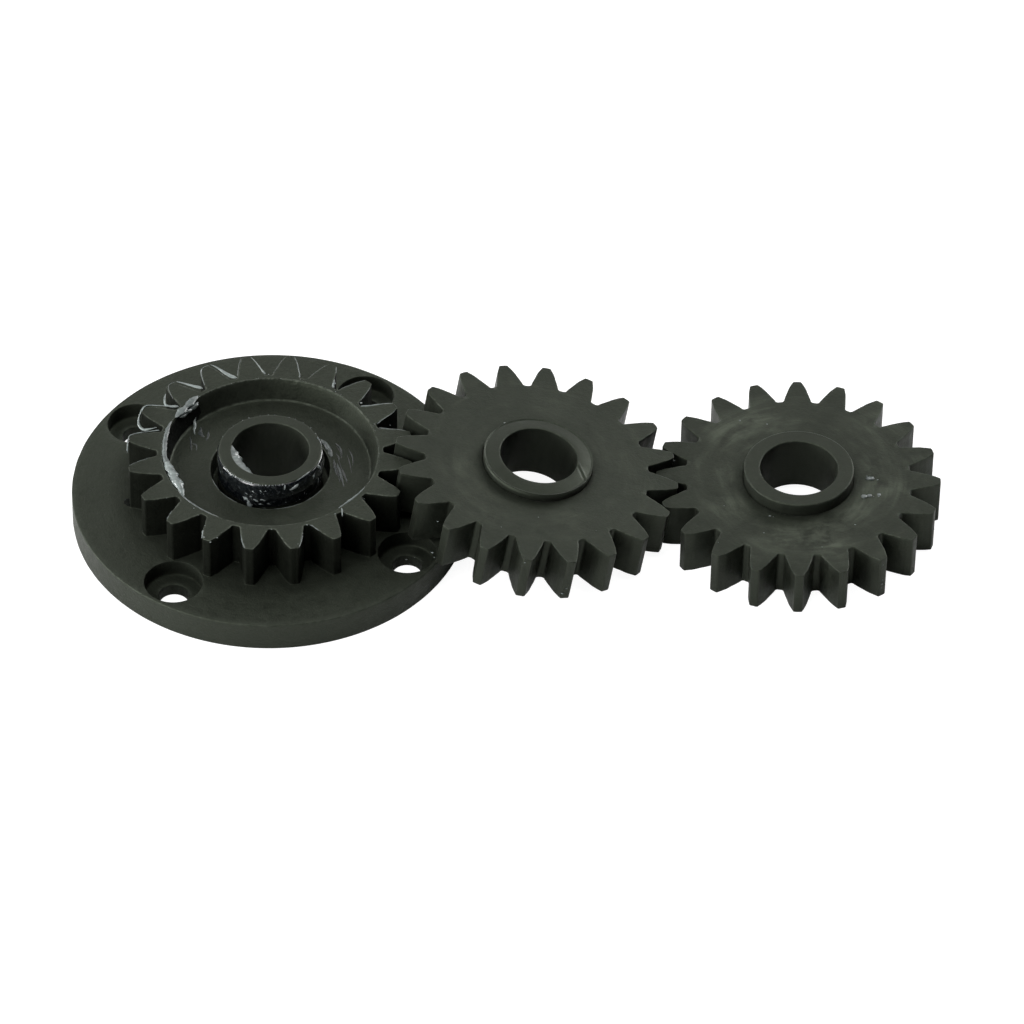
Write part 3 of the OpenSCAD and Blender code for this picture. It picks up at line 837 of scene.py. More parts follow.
def make_bush_grease_and_glints():
    """Wet grease round the front of the sun bush."""
    B = Build()
    T = SUN_BUSH_TOP
    a0, a1 = math.radians(-196), math.radians(14)
    na, nzv = 230, 30
    A = np.linspace(a0, a1, na)
    Z = np.linspace(T - 0.18, 8.2, nzv)
    out = np.zeros((nzv, na, 3)); inn = np.zeros((nzv, na, 3))
    for j, a in enumerate(A):
        d = math.degrees(a)
        ends = min(1.0, (d + 196) / 14, (14 - d) / 14)
        for i, z in enumerate(Z):
            v = i / (nzv - 1)
            x, y = math.cos(a) * 8, math.sin(a) * 8
            t = 0.16 + 0.22 * math.exp(-((v - 0.42) / 0.28) ** 2) * (0.35 + 0.65 / (1 + math.exp(-(d + 126) / 5)))
            t += 0.38 * math.exp(-((d + 104) / 13) ** 2) * math.exp(-((v - 0.72) / 0.26) ** 2)
            t += 0.16 * math.exp(-((d + 50) / 18) ** 2) * math.exp(-((v - 0.25) / 0.2) ** 2)
            t += 0.09 * nz(x, y, z, 0.9) + 0.03 * nz(x, y, z + 9, 2.2)
            rim = min(1.0, v / 0.07, (1 - v) / 0.08)
            t = t * max(0.0, ends) ** 0.6 * max(0.0, rim) ** 0.7 - 0.03
            r = SUN_BUSH_R + t
            out[i, j] = (r * math.cos(a), r * math.sin(a), z)
            inn[i, j] = ((SUN_BUSH_R - 0.25) * math.cos(a), (SUN_BUSH_R - 0.25) * math.sin(a), z)
    shell(B, out, inn, wear=1.0)
    def at(d, z, r=8.32):
        a = math.radians(d)
        return r * math.cos(a), r * math.sin(a), z

    def streak(pts, seed, shade=0.0, lump=0.5):
        m = math.radians(pts[len(pts) // 2][0])
        bead(B, [(*at(q[0], q[1], q[3] if len(q) > 3 else 8.32), q[2], q[2] * 0.55) for q in pts], seed, up=(math.cos(m), math.sin(m), 0.25), lump=lump, freq=2.0, shade=shade, step=0.08)

    # pale streaks and drops on it: painted highlights where the light glints on the wet grease
    streak([(-23.6, 12.75, 0.1, 8.0), (-22.2, 12.45, 0.24, 8.15), (-21, 11.9, 0.22), (-20.6, 11.5, 0.08)], 60, 0.0, 0.3)
    streak([(-24.8, 10.5, 0.06), (-25.3, 10.1, 0.13), (-26, 9.5, 0.12), (-26.6, 9.0, 0.05)], 61, 0.05)
    streak([(-33.0, 12.1, 0.06), (-34.3, 11.8, 0.14), (-35.4, 11.3, 0.06)], 62, 0.1)
    streak([(-36.5, 12.84, 0.06, 7.9), (-42, 12.84, 0.12, 7.9), (-47, 12.84, 0.15, 7.92), (-52, 12.8, 0.13, 7.95), (-57, 12.7, 0.08, 8.0), (-61, 12.6, 0.05, 8.05)], 63, 0.2, 0.8)
    streak([(-55, 12.2, 0.08, 8.2), (-58, 12.05, 0.2), (-61, 11.85, 0.25), (-64, 11.7, 0.22), (-67.5, 11.65, 0.1)], 64, 0.05, 0.4)
    streak([(-71.6, 12.7, 0.05, 8.1), (-72, 12.3, 0.1), (-72.6, 11.8, 0.06)], 65, 0.3)
    for i, (d0, z0, d1, z1, w, sh) in enumerate((
            (-118, 9.9, -109, 9.3, 0.2, 0.0), (-112.5, 9.2, -107, 8.3, 0.34, 0.4), (-113, 8.2, -106.5, 7.9, 0.2, 0.15), (-105.5, 10.2, -100, 9.7, 0.13, 0.05), (-98.5, 10.15, -92.5, 9.95, 0.12, 0.1),
            (-100, 9.2, -94.5, 9.1, 0.11, 0.3), (-91.5, 9.3, -87.5, 9.1, 0.09, 0.2), (-104.6, 8.4, -101.2, 7.6, 0.16, 0.0), (-100.5, 7.8, -97.5, 8.0, 0.13, 0.1), (-108, 11.5, -103.5, 11.2, 0.11, 0.15),
            (-99, 12.0, -96.6, 11.5, 0.1, 0.1), (-94, 11.7, -91.5, 11.9, 0.07, 0.4), (-115, 10.9, -111, 10.7, 0.08, 0.4), (-96, 8.4, -92, 8.3, 0.07, 0.5), (-109, 10.5, -106, 10.6, 0.08, 0.3))):
        def lift(d, z):
            return 8.34 + 0.33 * math.exp(-((d + 106) / 12) ** 2) * (z < 11)
        dm, zm = (d0 + d1) / 2, (z0 + z1) / 2 + 0.08
        streak([(d0, z0, w * 0.4, lift(d0, z0)), (dm, zm, w, lift(dm, zm)), (d1, z1, w * 0.4, lift(d1, z1))], 900 + i, sh, 0.7)
    g = rnd(19)
    for i in range(14):       # crumbs along the back of the ring
        a = math.radians(20 + 140 * (i + g.uniform(-0.4, 0.4)) / 13)
        r = 7.9 + g.uniform(-0.06, 0.06)
        flake(B, r * math.cos(a), r * math.sin(a), T - 0.04, g.uniform(0.05, 0.13), 960 + i, 0.6, wear=g.uniform(0.5, 0.85))
    streak([(24, 12.88, 0.06, 7.8), (18, 12.88, 0.16, 7.85), (12, 12.84, 0.14, 7.92), (6, 12.8, 0.05, 7.95)], 980, 0.66, 0.4)
    # ragged pale streaks along the ring's top outer edge, on the left and towards the front: painted highlights where
    # that edge catches the light
    g = rnd(5)
    for i in range(34):
        d = -150 + 42 * (i + g.uniform(-0.4, 0.4)) / 33
        amp = 0.5 + 0.5 * math.sin(PI * (d + 150) / 42)
        L = g.uniform(0.1, 0.32) * amp
        streak([(d, 12.86, 0.04, 7.86), (d + g.uniform(-0.8, 0.8), 12.82 - L * 0.4, g.uniform(0.05, 0.1), 7.98), (d + g.uniform(-1, 1), 12.72 - L, 0.04, 8.04)], 800 + i, float(g.uniform(0.1, 0.6)), 0.6)
    for i in range(16):
        d = -108 + 36 * (i + g.uniform(-0.4, 0.4)) / 15
        streak([(d, 12.84, 0.03, 7.88), (d + g.uniform(-1, 1), 12.72, 0.06, 8.0), (d + g.uniform(-1.5, 1.5), 12.6, 0.03, 8.05)], 850 + i, float(g.uniform(0.3, 0.8)), 0.6)
    # pale specks scattered over the wet grease: painted glints
    for i in range(30):
        d = g.uniform(-122, -10); z = g.uniform(8.6, 12.4)
        a = math.radians(d)
        flake(B, *at(d, z, SUN_BUSH_R + 0.3 + g.uniform(-0.02, 0.1)), g.uniform(0.03, 0.07), 740 + i, 0.6, wear=g.uniform(0.2, 0.9), up=(math.cos(a), math.sin(a), 0.3))
    return B.done("grease_and_painted_glints_round_bush")


def make_grease_bore():
    B = Build()
    T = SUN_BUSH_TOP
    a0, a1 = math.radians(-190), math.radians(-112)
    na, nzv = 60, 26
    A = np.linspace(a0, a1, na)
    out = np.zeros((nzv, na, 3)); inn = np.zeros((nzv, na, 3))
    for j, a in enumerate(A):
        d = math.degrees(a)
        u = (d + 190) / 78
        e1 = max(0.0, math.sin(PI * min(1, max(0, u)) ** 0.85)) ** 0.6
        for i in range(nzv):
            v = i / (nzv - 1)
            z = T - 0.1 - v * 3.1
            x, y = math.cos(a) * 6, math.sin(a) * 6
            t = (1.55 * e1) * math.exp(-((v - 0.2) / 0.42) ** 2) * (0.9 + 0.35 * nz(x, y, z, 1.1) + 0.2 * nz(x, y, z, 2.6))
            t *= min(1.0, v / 0.12) ** 0.5 * min(1.0, (1 - v) / 0.3)
            t -= 0.03
            r = BORE_R - t
            out[i, j] = (r * math.cos(a), r * math.sin(a), z + 0.08 * nz(x * 2, y * 2, z))
            inn[i, j] = ((BORE_R + 0.3) * math.cos(a), (BORE_R + 0.3) * math.sin(a), z)
    shell(B, out, inn, wear=0.3)
    return B.done("grease_in_bore")


# ---------------------------------------------------------------- node helpers
class Nodes:
    def __init__(self, name):
        self.mat = bpy.data.materials.new(name)
        self.mat.use_nodes = True
        self.t = self.mat.node_tree
        self.t.nodes.clear()
        self.out = self.t.nodes.new("ShaderNodeOutputMaterial")
        self.bsdf = self.t.nodes.new("ShaderNodeBsdfPrincipled")
        self.t.links.new(self.bsdf.outputs[0], self.out.inputs[0])
        self.co = self.t.nodes.new("ShaderNodeTexCoord").outputs["Object"]

    def link(self, a, b):
        self.t.links.new(a, b)

    def _set(self, socket, val):
        if hasattr(val, "is_output"):
            self.link(val, socket)
        elif hasattr(val, "__len__") and len(val) == 3 and socket.type == "RGBA":
            socket.default_value = (*val, 1)
        else:
            socket.default_value = val

    def math(self, op, a, b=0.0, c=None, clamp=False):
        n = self.t.nodes.new("ShaderNodeMath")
        n.operation = op
        n.use_clamp = clamp
        self._set(n.inputs[0], a)
        self._set(n.inputs[1], b)
        if c is not None:
            self._set(n.inputs[2], c)
        return n.outputs[0]

    def noise(self, scale, detail=3, rough=0.5, vec=None, distort=0.0, offset=(0, 0, 0)):
        n = self.t.nodes.new("ShaderNodeTexNoise")
        n.inputs["Scale"].default_value = scale
        n.inputs["Detail"].default_value = detail
        n.inputs["Roughness"].default_value = rough
        n.inputs["Distortion"].default_value = distort
        v = self.co if vec is None else vec
        if any(offset):
            m = self.t.nodes.new("ShaderNodeVectorMath")
            m.operation = "ADD"
            self.link(v, m.inputs[0])
            m.inputs[1].default_value = offset
            v = m.outputs[0]
        self.link(v, n.inputs["Vector"])
        return n.outputs[0]

    def ramp(self, fac, lo, hi, a=0.0, b=1.0):
        n = self.t.nodes.new("ShaderNodeMapRange")
        n.interpolation_type = "SMOOTHSTEP"
        self._set(n.inputs[0], fac)
        n.inputs[1].default_value = lo
        n.inputs[2].default_value = hi
        n.inputs[3].default_value = a
        n.inputs[4].default_value = b
        return n.outputs[0]

    def mix(self, fac, a, b):
        n = self.t.nodes.new("ShaderNodeMix")
        n.data_type = "RGBA"
        self._set(n.inputs[0], fac)
        self._set(n.inputs[6], a)
        self._set(n.inputs[7], b)
        return n.outputs[2]

    def wear(self):
        n = self.t.nodes.new("ShaderNodeAttribute")
        n.attribute_name = "wear"
        return n.outputs["Fac"]

    def bump(self, height, strength, dist, normal=None):
        n = self.t.nodes.new("ShaderNodeBump")
        n.inputs["Strength"].default_value = strength
        n.inputs["Distance"].default_value = dist
        self.link(height, n.inputs["Height"])
        if normal is not None:
            self.link(normal, n.inputs["Normal"])
        return n.outputs[0]

    def radial(self, turn=1.3, k=420.0):
        """Coordinates that run round the axis, for turned marks and wiped smears."""
        s = self.t.nodes.new("ShaderNodeSeparateXYZ")
        self.link(self.co, s.inputs[0])
        x, y = s.outputs[0], s.outputs[1]
        r = self.math("SQRT", self.math("ADD", self.math("MULTIPLY", x, x), self.math("MULTIPLY", y, y)))
        c = self.t.nodes.new("ShaderNodeCombineXYZ")
        self.link(self.math("MULTIPLY", r, k), c.inputs[0])
        self.link(self.math("MULTIPLY", self.math("DIVIDE", x, self.math("ADD", r, 1e-5)), turn), c.inputs[1])
        self.link(self.math("MULTIPLY", self.math("DIVIDE", y, self.math("ADD", r, 1e-5)), turn), c.inputs[2])
        return c.outputs[0], r


def plastic(name, dark, light, seed, rough=0.5, spec=0.3, mottle=0.5, cloud=0.4, smear=0.3, smear_tone=(0.030, 0.034, 0.028), grain=0.25, wear_tone=(0.045, 0.050, 0.042), wear=0.5, painted_shade="ring"):
    """Black moulded nylon: fine mottle, cloudy patches, wiped smears round the axis, pale worn edges, and, where
    chosen, painted shade on the places shade falls on.
    """
    n = Nodes(name)
    off = (seed * 0.137, seed * 0.071, seed * 0.213)
    fine = n.noise(2600, 3, 0.6, offset=off)
    grit = n.noise(6500, 2, 0.5, offset=off)
    mid = n.noise(620, 4, 0.55, distort=0.4, offset=off)
    big = n.noise(150, 3, 0.5, distort=0.7, offset=off)
    rv, r = n.radial()
    ring = n.noise(1.0, 4, 0.6, vec=rv, distort=0.6, offset=(seed, seed * 2, 0))
    ring_fine = n.noise(5.5, 2, 0.5, vec=rv, offset=(seed, 0, seed))
    f = n.math("MULTIPLY_ADD", n.ramp(fine, 0.3, 0.7), mottle * 0.55, n.math("MULTIPLY", n.ramp(mid, 0.32, 0.68), mottle * 0.45))
    f = n.math("MULTIPLY_ADD", n.ramp(big, 0.3, 0.7, -0.5, 0.5), cloud, f)
    col = n.mix(n.math("ADD", f, 0.25, clamp=True), dark, light)
    sm = n.math("MULTIPLY", n.ramp(ring, 0.5, 0.74), n.ramp(big, 0.35, 0.65), clamp=True)
    sm = n.math("MULTIPLY", sm, n.ramp(fine, 0.2, 0.6, 0.6, 1.0))
    at = n.t.nodes.new("ShaderNodeAttribute")
    at.attribute_name = "smear"
    streaky = n.math("MULTIPLY_ADD", n.ramp(ring, 0.38, 0.66), 0.65, n.math("MULTIPLY", n.ramp(mid, 0.35, 0.7), 0.45))
    sm = n.math("MULTIPLY_ADD", sm, 0.45, n.math("MULTIPLY", at.outputs["Fac"], streaky), clamp=True)
    col = n.mix(n.math("MULTIPLY", sm, smear), col, smear_tone)
    w = n.math("MULTIPLY", n.wear(), n.ramp(n.noise(1100, 4, 0.65, offset=off), 0.36, 0.66))
    col = n.mix(n.math("MULTIPLY", w, wear, clamp=True), col, wear_tone)
    # painted shade: darker down the sun's tooth sides and on the flange round their foot, where the teeth shade it, and
    # on the tops of the left teeth; or round the foot of a bush, where shade gathers
    if painted_shade == "teeth":
        sep = n.t.nodes.new("ShaderNodeSeparateXYZ")
        n.link(n.co, sep.inputs[0])
        z = sep.outputs[2]
        below = n.ramp(z, (SUN_H - 0.6) * MM, (SUN_H - 0.25) * MM, 1.0, 0.0)
        side = n.math("MULTIPLY", below, n.math("MULTIPLY", n.ramp(r, 16.7 * MM, 17.1 * MM), n.ramp(r, 22.2 * MM, 25.5 * MM, 1.0, 0.0)))
        left = n.math("MULTIPLY", n.ramp(sep.outputs[0], -20.5 * MM, -15.5 * MM, 0.55, 0.0), n.ramp(z, (SUN_H - 0.3) * MM, (SUN_H - 0.1) * MM))
        painted_shade_mask = n.math("MAXIMUM", n.math("MULTIPLY", side, n.ramp(z, FLANGE_T * MM, (FLANGE_T + 0.5) * MM, 0.75, 0.92)), left)
    elif painted_shade == "ring":
        painted_shade_mask = n.ramp(r, (SLEEVE_R + 0.1) * MM, (SLEEVE_R + 2.0) * MM, 0.6, 0.0)
    else:
        painted_shade_mask = 0.0
    painted_shade_mask = n.math("MULTIPLY", painted_shade_mask, n.ramp(mid, 0.15, 0.5, 0.75, 1.0), clamp=True)
    # near-black mixed in by that mask: painted shade
    col = n.mix(painted_shade_mask, col, (0.0016, 0.0018, 0.0015, 1))
    n.link(col, n.bsdf.inputs["Base Color"])
    ro = n.math("MULTIPLY_ADD", n.ramp(mid, 0.25, 0.75, -0.5, 0.5), 0.12, rough)
    ro = n.math("MULTIPLY_ADD", n.ramp(ring_fine, 0.3, 0.7, -0.5, 0.5), 0.06, ro)
    ro = n.math("MULTIPLY_ADD", painted_shade_mask, 0.2, ro)
    ro = n.math("MULTIPLY_ADD", sm, 0.1, ro, clamp=True)
    n.link(ro, n.bsdf.inputs["Roughness"])
    n.bsdf.inputs["Specular IOR Level"].default_value = spec
    n.bsdf.inputs["Specular Tint"].default_value = (0.86, 1.0, 0.74, 1)
    h = n.math("MULTIPLY_ADD", fine, 1.0, n.math("MULTIPLY", grit, 0.5))
    b1 = n.bump(h, grain, 0.00006)
    b2 = n.bump(n.math("MULTIPLY_ADD", mid, 1.0, n.math("MULTIPLY", ring_fine, 0.25)), grain * 0.8, 0.00012, b1)
    n.link(b2, n.bsdf.inputs["Normal"])
    return n.mat


def grease(name, pale, dark, rough=0.3, coat=0.6, bump=0.5):
    """Translucent grease: pale where wear is 0, black and wet where it is 1."""
    n = Nodes(name)
    w = n.wear()
    fine = n.noise(2400, 4, 0.6)
    mid = n.noise(800, 3, 0.5, distort=0.5)
    thin = n.ramp(mid, 0.3, 0.7)
    tone = n.mix(n.math("MULTIPLY", thin, 0.75), pale, tuple(c * 0.45 for c in pale))
    col = n.mix(n.math("MULTIPLY_ADD", n.ramp(fine, 0.3, 0.7, -0.5, 0.5), 0.2, w, clamp=True), tone, dark)
    n.link(col, n.bsdf.inputs["Base Color"])
    n.link(n.math("MULTIPLY_ADD", n.ramp(fine, 0.3, 0.7, -0.5, 0.5), 0.15, rough, clamp=True), n.bsdf.inputs["Roughness"])
    n.bsdf.inputs["Coat Weight"].default_value = coat
    n.bsdf.inputs["Coat Roughness"].default_value = 0.08
    n.bsdf.inputs["Subsurface Weight"].default_value = 0.12
    n.bsdf.inputs["Subsurface Radius"].default_value = (0.0005, 0.0006, 0.0007)
    n.bsdf.inputs["Subsurface Scale"].default_value = 1.0
    h = n.math("MULTIPLY_ADD", mid, 1.0, n.math("MULTIPLY", fine, 0.5))
    n.link(n.bump(h, bump, 0.00012), n.bsdf.inputs["Normal"])
    return n.mat


# ---------------------------------------------------------------- make the pieces
idler_m = (Matrix.Translation(Vector(idler_at) * MM) @ Matrix.Rotation(IDLER_LEAN, 4, "Y"))
planet_m = Matrix.Translation(Vector((planet_at[0], planet_at[1], FACE_W)) * MM)

gear_dark, gear_light = (0.0058, 0.0068, 0.0052), (0.0118, 0.0134, 0.0104)
mat_sun = plastic("black_nylon_sun", gear_dark, gear_light, 1, rough=0.52, mottle=1.3, cloud=0.3, smear=0.15, grain=0.9, wear=0.8, wear_tone=(0.062, 0.069, 0.058), painted_shade="teeth")
# a darker, less shiny copy of the sun's plastic for its tooth sides: painted shade
mat_sun_painted_shade = plastic("black_nylon_sun_painted_shade", (0.0020, 0.0022, 0.0018), (0.0046, 0.0052, 0.0040), 1, rough=0.68, spec=0.08, mottle=1.3, cloud=0.3, smear=0.1, grain=0.9, wear=0.7, wear_tone=(0.040, 0.045, 0.038), painted_shade=None)
mat_idler = plastic("black_nylon_idler", gear_dark, gear_light, 2, rough=0.46, mottle=0.6, cloud=0.5, smear=0.6, grain=0.45, smear_tone=(0.040, 0.044, 0.034))
mat_planet = plastic("black_nylon_planet", gear_dark, gear_light, 3, rough=0.46, mottle=0.6, cloud=0.55, smear=0.95, grain=0.45, smear_tone=(0.046, 0.052, 0.040))
mat_bush = plastic("bush_plastic", (0.0075, 0.0086, 0.0068), (0.0140, 0.0158, 0.0124), 4, rough=0.48, mottle=0.35, cloud=0.2, smear=0.3, grain=0.22, wear=0.35, painted_shade=None)
mat_pale = grease("grease_pale", (0.195, 0.228, 0.218), (0.008, 0.0102, 0.0112), rough=0.36, coat=0.3)
mat_black_patch = grease("black_patch", (0.05, 0.055, 0.05), (0.0022, 0.0024, 0.0024), rough=0.62, coat=0.0, bump=0.3)
for node in mat_black_patch.node_tree.nodes:
    if node.type == "BSDF_PRINCIPLED":
        node.inputs["Specular IOR Level"].default_value = 0.06
        node.inputs["Specular Tint"].default_value = (0.86, 1.0, 0.74, 1)
# wet grease; its pale tone also paints the highlights and glints on it
mat_wet_grease_and_glints = grease("grease_wet_and_painted_glints", (0.30, 0.335, 0.33), (0.0018, 0.0026, 0.0040), rough=0.2, coat=0.7, bump=0.35)

pieces = []


def smears(o, blobs):
    """Marks where the faces are smeared: (x, y, size, amount) in the gear's own millimetres."""
    me = o.data
    co = np.empty(len(me.vertices) * 3, np.float32)
    me.vertices.foreach_get("co", co)
    co = co.reshape(-1, 3) / MM
    s = np.zeros(len(co))
    for x, y, r, k in blobs:
        s += k * np.exp(-(((co[:, 0] - x) ** 2 + (co[:, 1] - y) ** 2) / r ** 2))
    at = me.attributes.new("smear", "FLOAT", "POINT")
    at.data.foreach_set("value", s.astype(np.float32))
    return o


def make_specks(name, specks, seed, matrix):
    """Dried specks and small burrs: (x, y, z, size) in the gear's own millimetres."""
    B = Build()
    for i, (x, y, z, s, w) in enumerate(specks):
        flake(B, x, y, z, s, seed + i, 0.4, wear=w)
    return B.done(name, matrix)


def piece(o, body, mat, node=None):
    o.data.materials.append(mat)
    m = o.modifiers.new("normals", "WEIGHTED_NORMAL")
    m.weight = 60
    m.keep_sharp = True
    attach(o, body)
    if node:
        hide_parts(node)
    pieces.append(o)
    return o


def idler_mark(r, ang):
    """The pressed line across the idler bush's top face, and the nick where it meets the bore."""
    z = np.full(len(ang), -0.34 * max(0.0, (r - 6.3) / 2.0) ** 1.4)
    for i, a in enumerate(ang):
        x, y = r * math.cos(a), r * math.sin(a)
        ax, ay, bx, by = 5.0, 1.9, 7.6, -4.1
        L = math.hypot(bx - ax, by - ay)
        s = ((x - ax) * (bx - ax) + (y - ay) * (by - ay)) / L
        d = ((x - ax) * (by - ay) - (y - ay) * (bx - ax)) / L
        if 0 < s < L:
            z[i] += 0.10 * math.exp(-(d / 0.13) ** 2) - 0.12 * math.exp(-((d - 0.28) / 0.16) ** 2)
    return z


sun_body = make_sun()
piece(sun_body, "sun", mat_sun, "flange_gear")
# the tooth sides get a darker, duller copy of the plastic: painted shade
sun_body.data.materials.append(mat_sun_painted_shade)
for poly in sun_body.data.polygons:
    c = poly.center / MM
    if 16.9 < math.hypot(c.x, c.y) < 22.4 and FLANGE_T + 0.05 < c.z < SUN_H - 0.3:
        poly.material_index = 1
piece(make_bush("sun_bush_body", SUN_BUSH_R, SUN_BUSH_LOW, SUN_BUSH_TOP, 3, None, edge=0.28, bore_edge=0.16, ragged=0.0), "arm", mat_bush, "sun_bush")
piece(smears(make_gear("idler_gear_body", IDLER_PHASE, idler_m, 5, ragged=((0.0, 0.5, 0.05), (13.0, 0.5, 0.03))),
             ((-11.9, -2.9, 3.0, 0.7), (-10.4, -8.2, 3.0, 0.7), (-7.6, -13.4, 3.0, 0.6), (5.1, -11.8, 3.2, 0.8), (9.9, 4.7, 3.0, 0.6), (13.5, 2.5, 3.0, 0.6), (0.2, -14.8, 2.6, 0.4), (3.0, 13.0, 4.0, 0.35))), "idler", mat_idler, "idler_gear")
piece(make_bush("idler_bush_body", SLEEVE_R, -FACE_W, PROUD, 5, idler_m, edge=0.2, bore_edge=0.14, special=idler_mark), "arm", mat_bush, "idler_bush")
piece(smears(make_gear("planet_gear_body", PLANET_PHASE, planet_m, 7, ragged=((8.0, 0.5, 0.05), (15.0, 0.5, 0.04))),
             ((-10.7, 9.8, 3.4, 1.0), (-11.2, 0.4, 2.4, 0.6), (-10.4, -6.8, 3.0, 0.8), (-2.6, -13.6, 3.0, 1.0), (4.1, -15.0, 3.4, 1.2), (8.2, -7.4, 3.2, 1.1), (11.4, -2.0, 2.8, 1.0), (11.3, 3.2, 3.0, 0.6),
              (-6.0, 12.5, 3.0, 1.0), (11.5, 14.0, 3.4, 0.7), (15.6, -2.4, 2.4, 0.7), (18.6, 3.4, 2.4, 0.8), (-2.0, 10.0, 3.0, 0.6), (2.5, -11.5, 3.0, 0.7))), "planet", mat_planet, "planet_gear")
piece(make_bush("planet_bush_body", SLEEVE_R, -FACE_W + LIFT, PROUD + LIFT, 7, planet_m, edge=0.2, bore_edge=0.16), "arm", mat_bush, "planet_bush")
piece(make_grease_sun(), "sun", mat_pale)
piece(make_black_patches(), "sun", mat_black_patch)
piece(make_bush_grease_and_glints(), "arm", mat_wet_grease_and_glints)
piece(make_grease_bore(), "arm", mat_pale)

piece(make_specks("specks_on_idler", [(-5.2, 8.05, 0.01, 0.16, 0.0), (-2.55, 8.5, 0.01, 0.1, 0.3), (-5.4, -15.4, 0.01, 0.09, 0.1), (-15.2, -15.9, -0.02, 0.12, 0.3), (-15.0, -15.95, -6.6, 0.22, 0.45), (-14.6, -16.3, -7.2, 0.14, 0.5),
                                      (-1.6, -21.94, -0.6, 0.12, 0.15), (-1.9, -21.9, -1.4, 0.08, 0.4), (0.3, -12.2, 0.01, 0.07, 0.3), (9.2, -13.6, 0.01, 0.06, 0.4), (21.2, 5.9, -0.3, 0.16, 0.4), (21.4, 5.3, -0.9, 0.2, 0.5), (21.5, 4.7, -0.3, 0.1, 0.5),
                                      (5.6, -21.2, -5.6, 0.2, 0.4), (5.2, -21.35, -6.6, 0.26, 0.5), (4.7, -21.45, -7.2, 0.16, 0.5)], 1100, idler_m), "idler", mat_pale)
piece(make_specks("specks_on_planet", [(11.05, 0.0, 0.01, 0.62, 0.3), (10.6, 0.5, 0.01, 0.16, 0.5), (12.2, -0.2, 0.01, 0.14, 0.5), (10.15, -4.05, 0.01, 0.56, 0.25), (10.9, -3.85, 0.01, 0.4, 0.35), (11.5, -4.0, 0.01, 0.12, 0.5), (12.35, -3.55, 0.01, 0.32, 0.2),
                                       (12.3, -4.0, 0.01, 0.14, 0.35), (-8.9, 12.7, 0.01, 0.16, 0.5), (-4.5, -8.8, 0.01, 0.2, 0.4), (-4.0, -9.0, 0.01, 0.1, 0.5), (-5.5, -12.6, 0.01, 0.12, 0.3), (8.55, -10.4, 0.01, 0.14, 0.5), (-12.5, -14.9, -0.02, 0.1, 0.3),
                                       (3.4, -15.5, 0.01, 0.1, 0.5), (-11.5, -6.7, 0.01, 0.1, 0.5), (-4.7, 12.0, 0.01, 0.12, 0.5), (12.7, -17.95, -1.2, 0.1, 0.4), (12.75, -17.9, -4.4, 0.16, 0.4), (12.7, -17.95, -5.2, 0.2, 0.35), (12.6, -18.0, -6.0, 0.12, 0.5),
                                       (17.75, -13.0, -6.4, 0.16, 0.4), (17.7, -13.05, -5.6, 0.1, 0.5), (20.9, -6.9, -3.9, 0.14, 0.4)], 1200, planet_m), "planet", mat_pale)

# ---------------------------------------------------------------- floor, light and camera
scene = bpy.context.scene


def floor(name, base, glow, z):
    h = 6.0
    me = bpy.data.meshes.new(name)
    me.from_pydata([(-h, -h, z), (h, -h, z), (h, h, z), (-h, h, z)], [], [(0, 1, 2, 3)])
    o = bpy.data.objects.new(name, me)
    scene.collection.objects.link(o)
    fm = bpy.data.materials.new(name)
    fm.use_nodes = True
    fb = fm.node_tree.nodes["Principled BSDF"]
    fb.inputs["Base Color"].default_value = (base, base, base, 1)
    fb.inputs["Roughness"].default_value = 0.9
    fb.inputs["Specular IOR Level"].default_value = 0.0
    fb.inputs["Emission Color"].default_value = (1, 1, 1, 1)
    fb.inputs["Emission Strength"].default_value = glow
    me.materials.append(fm)
    return o


# one white floor to look at, and the same floor again to bounce the light
seen = floor("floor", 0.3, 0.93, -0.00002)
seen.visible_diffuse = seen.visible_glossy = seen.visible_transmission = seen.visible_shadow = False
bounce = floor("floor_bounce", 0.86, 0.0, -0.00004)
bounce.visible_camera = False

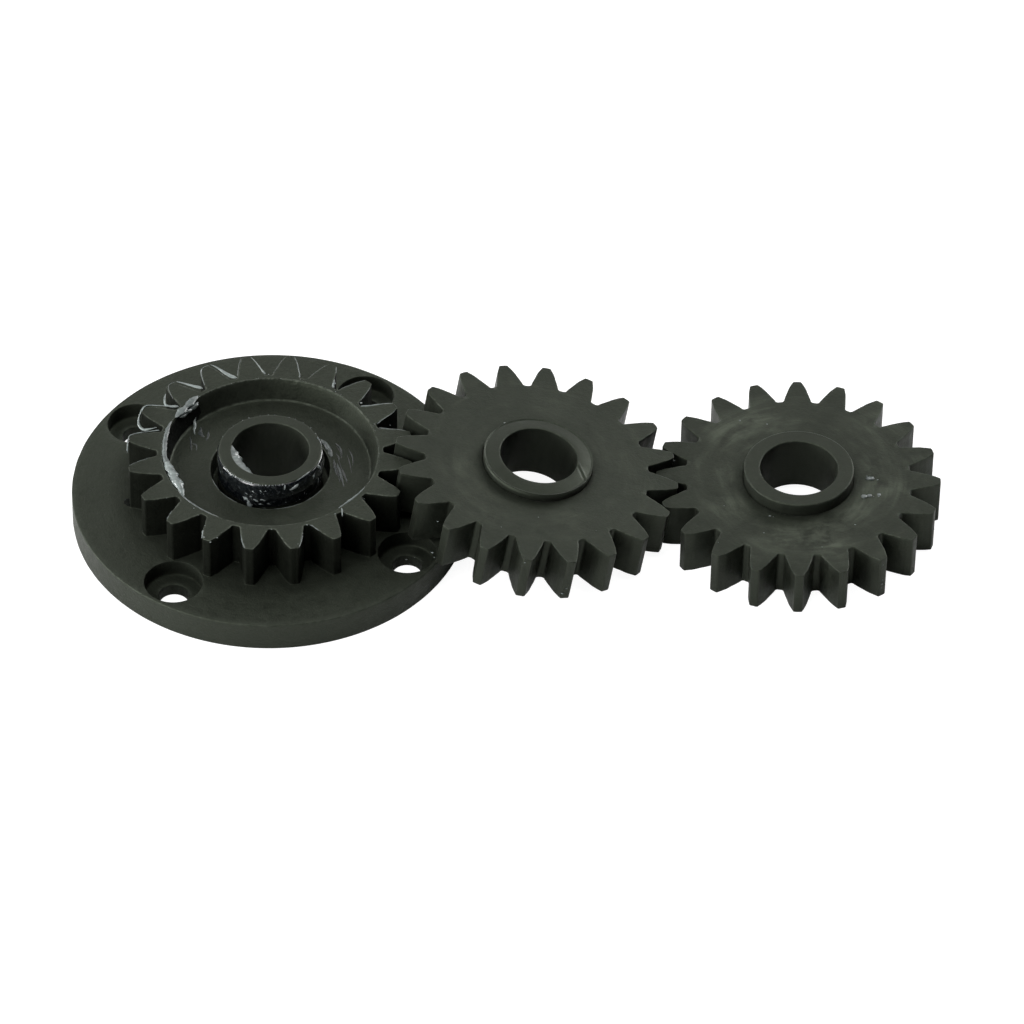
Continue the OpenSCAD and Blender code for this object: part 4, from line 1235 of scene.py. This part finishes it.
world = bpy.data.worlds.new("studio")
scene.world = world
world.use_nodes = True
world.node_tree.nodes["Background"].inputs[0].default_value = (0.9, 0.95, 1.0, 1)
world.node_tree.nodes["Background"].inputs[1].default_value = 0.01


def softbox(name, az, el, size, power, dist=1.0):
    """A square soft light that looks at the gears; azimuth 0 is behind them, 90 is on their right."""
    l = bpy.data.lights.new(name, "AREA")
    l.shape = "SQUARE"
    l.size = size
    l.energy = power
    o = bpy.data.objects.new(name, l)
    scene.collection.objects.link(o)
    a, e = math.radians(az), math.radians(el)
    c = Vector((0.037, 0, 0.005))
    o.location = c + dist * Vector((math.sin(a) * math.cos(e), math.cos(a) * math.cos(e), math.sin(e)))
    o.rotation_euler = (c - o.location).to_track_quat("-Z", "Y").to_euler()
    return o


softbox("softbox_back", 0, 25, 0.5, 1.3)
softbox("softbox_back_left", -45, 35, 0.5, 2.87)
softbox("softbox_back_right", 45, 35, 0.5, 2.94)
softbox("softbox_back_right_low", 45, 20, 0.4, 4.19)
softbox("softbox_left_low", -90, 12, 0.35, 8.46)
softbox("softbox_top", 0, 88, 0.5, 3.86)
softbox("softbox_front_left", -135, 40, 0.5, 4.99)
softbox("softbox_front_left_low", -135, 15, 0.4, 4.67)

cam = bpy.data.cameras.new("camera")
cam.sensor_width = 36.0
cam.lens = 254.095
cam.clip_start, cam.clip_end = 0.05, 60
co = bpy.data.objects.new("camera", cam)
scene.collection.objects.link(co)
el, roll = 0.7555, 0.0193
fw = Vector((0, math.cos(el), -math.sin(el)))
rt = Vector((1, 0, 0))
up = Vector((0, math.sin(el), math.cos(el)))
rt2 = math.cos(roll) * rt + math.sin(roll) * up
up2 = -math.sin(roll) * rt + math.cos(roll) * up
m = Matrix((rt2, up2, -fw)).transposed().to_4x4()
m.translation = Vector((0.0373776, -0.8151902, 0.7684992))
co.matrix_world = m
scene.camera = co
scene.view_settings.view_transform = "Standard"
scene.view_settings.look = "None"
scene.view_settings.exposure = 0.0
scene.view_settings.gamma = 1.0
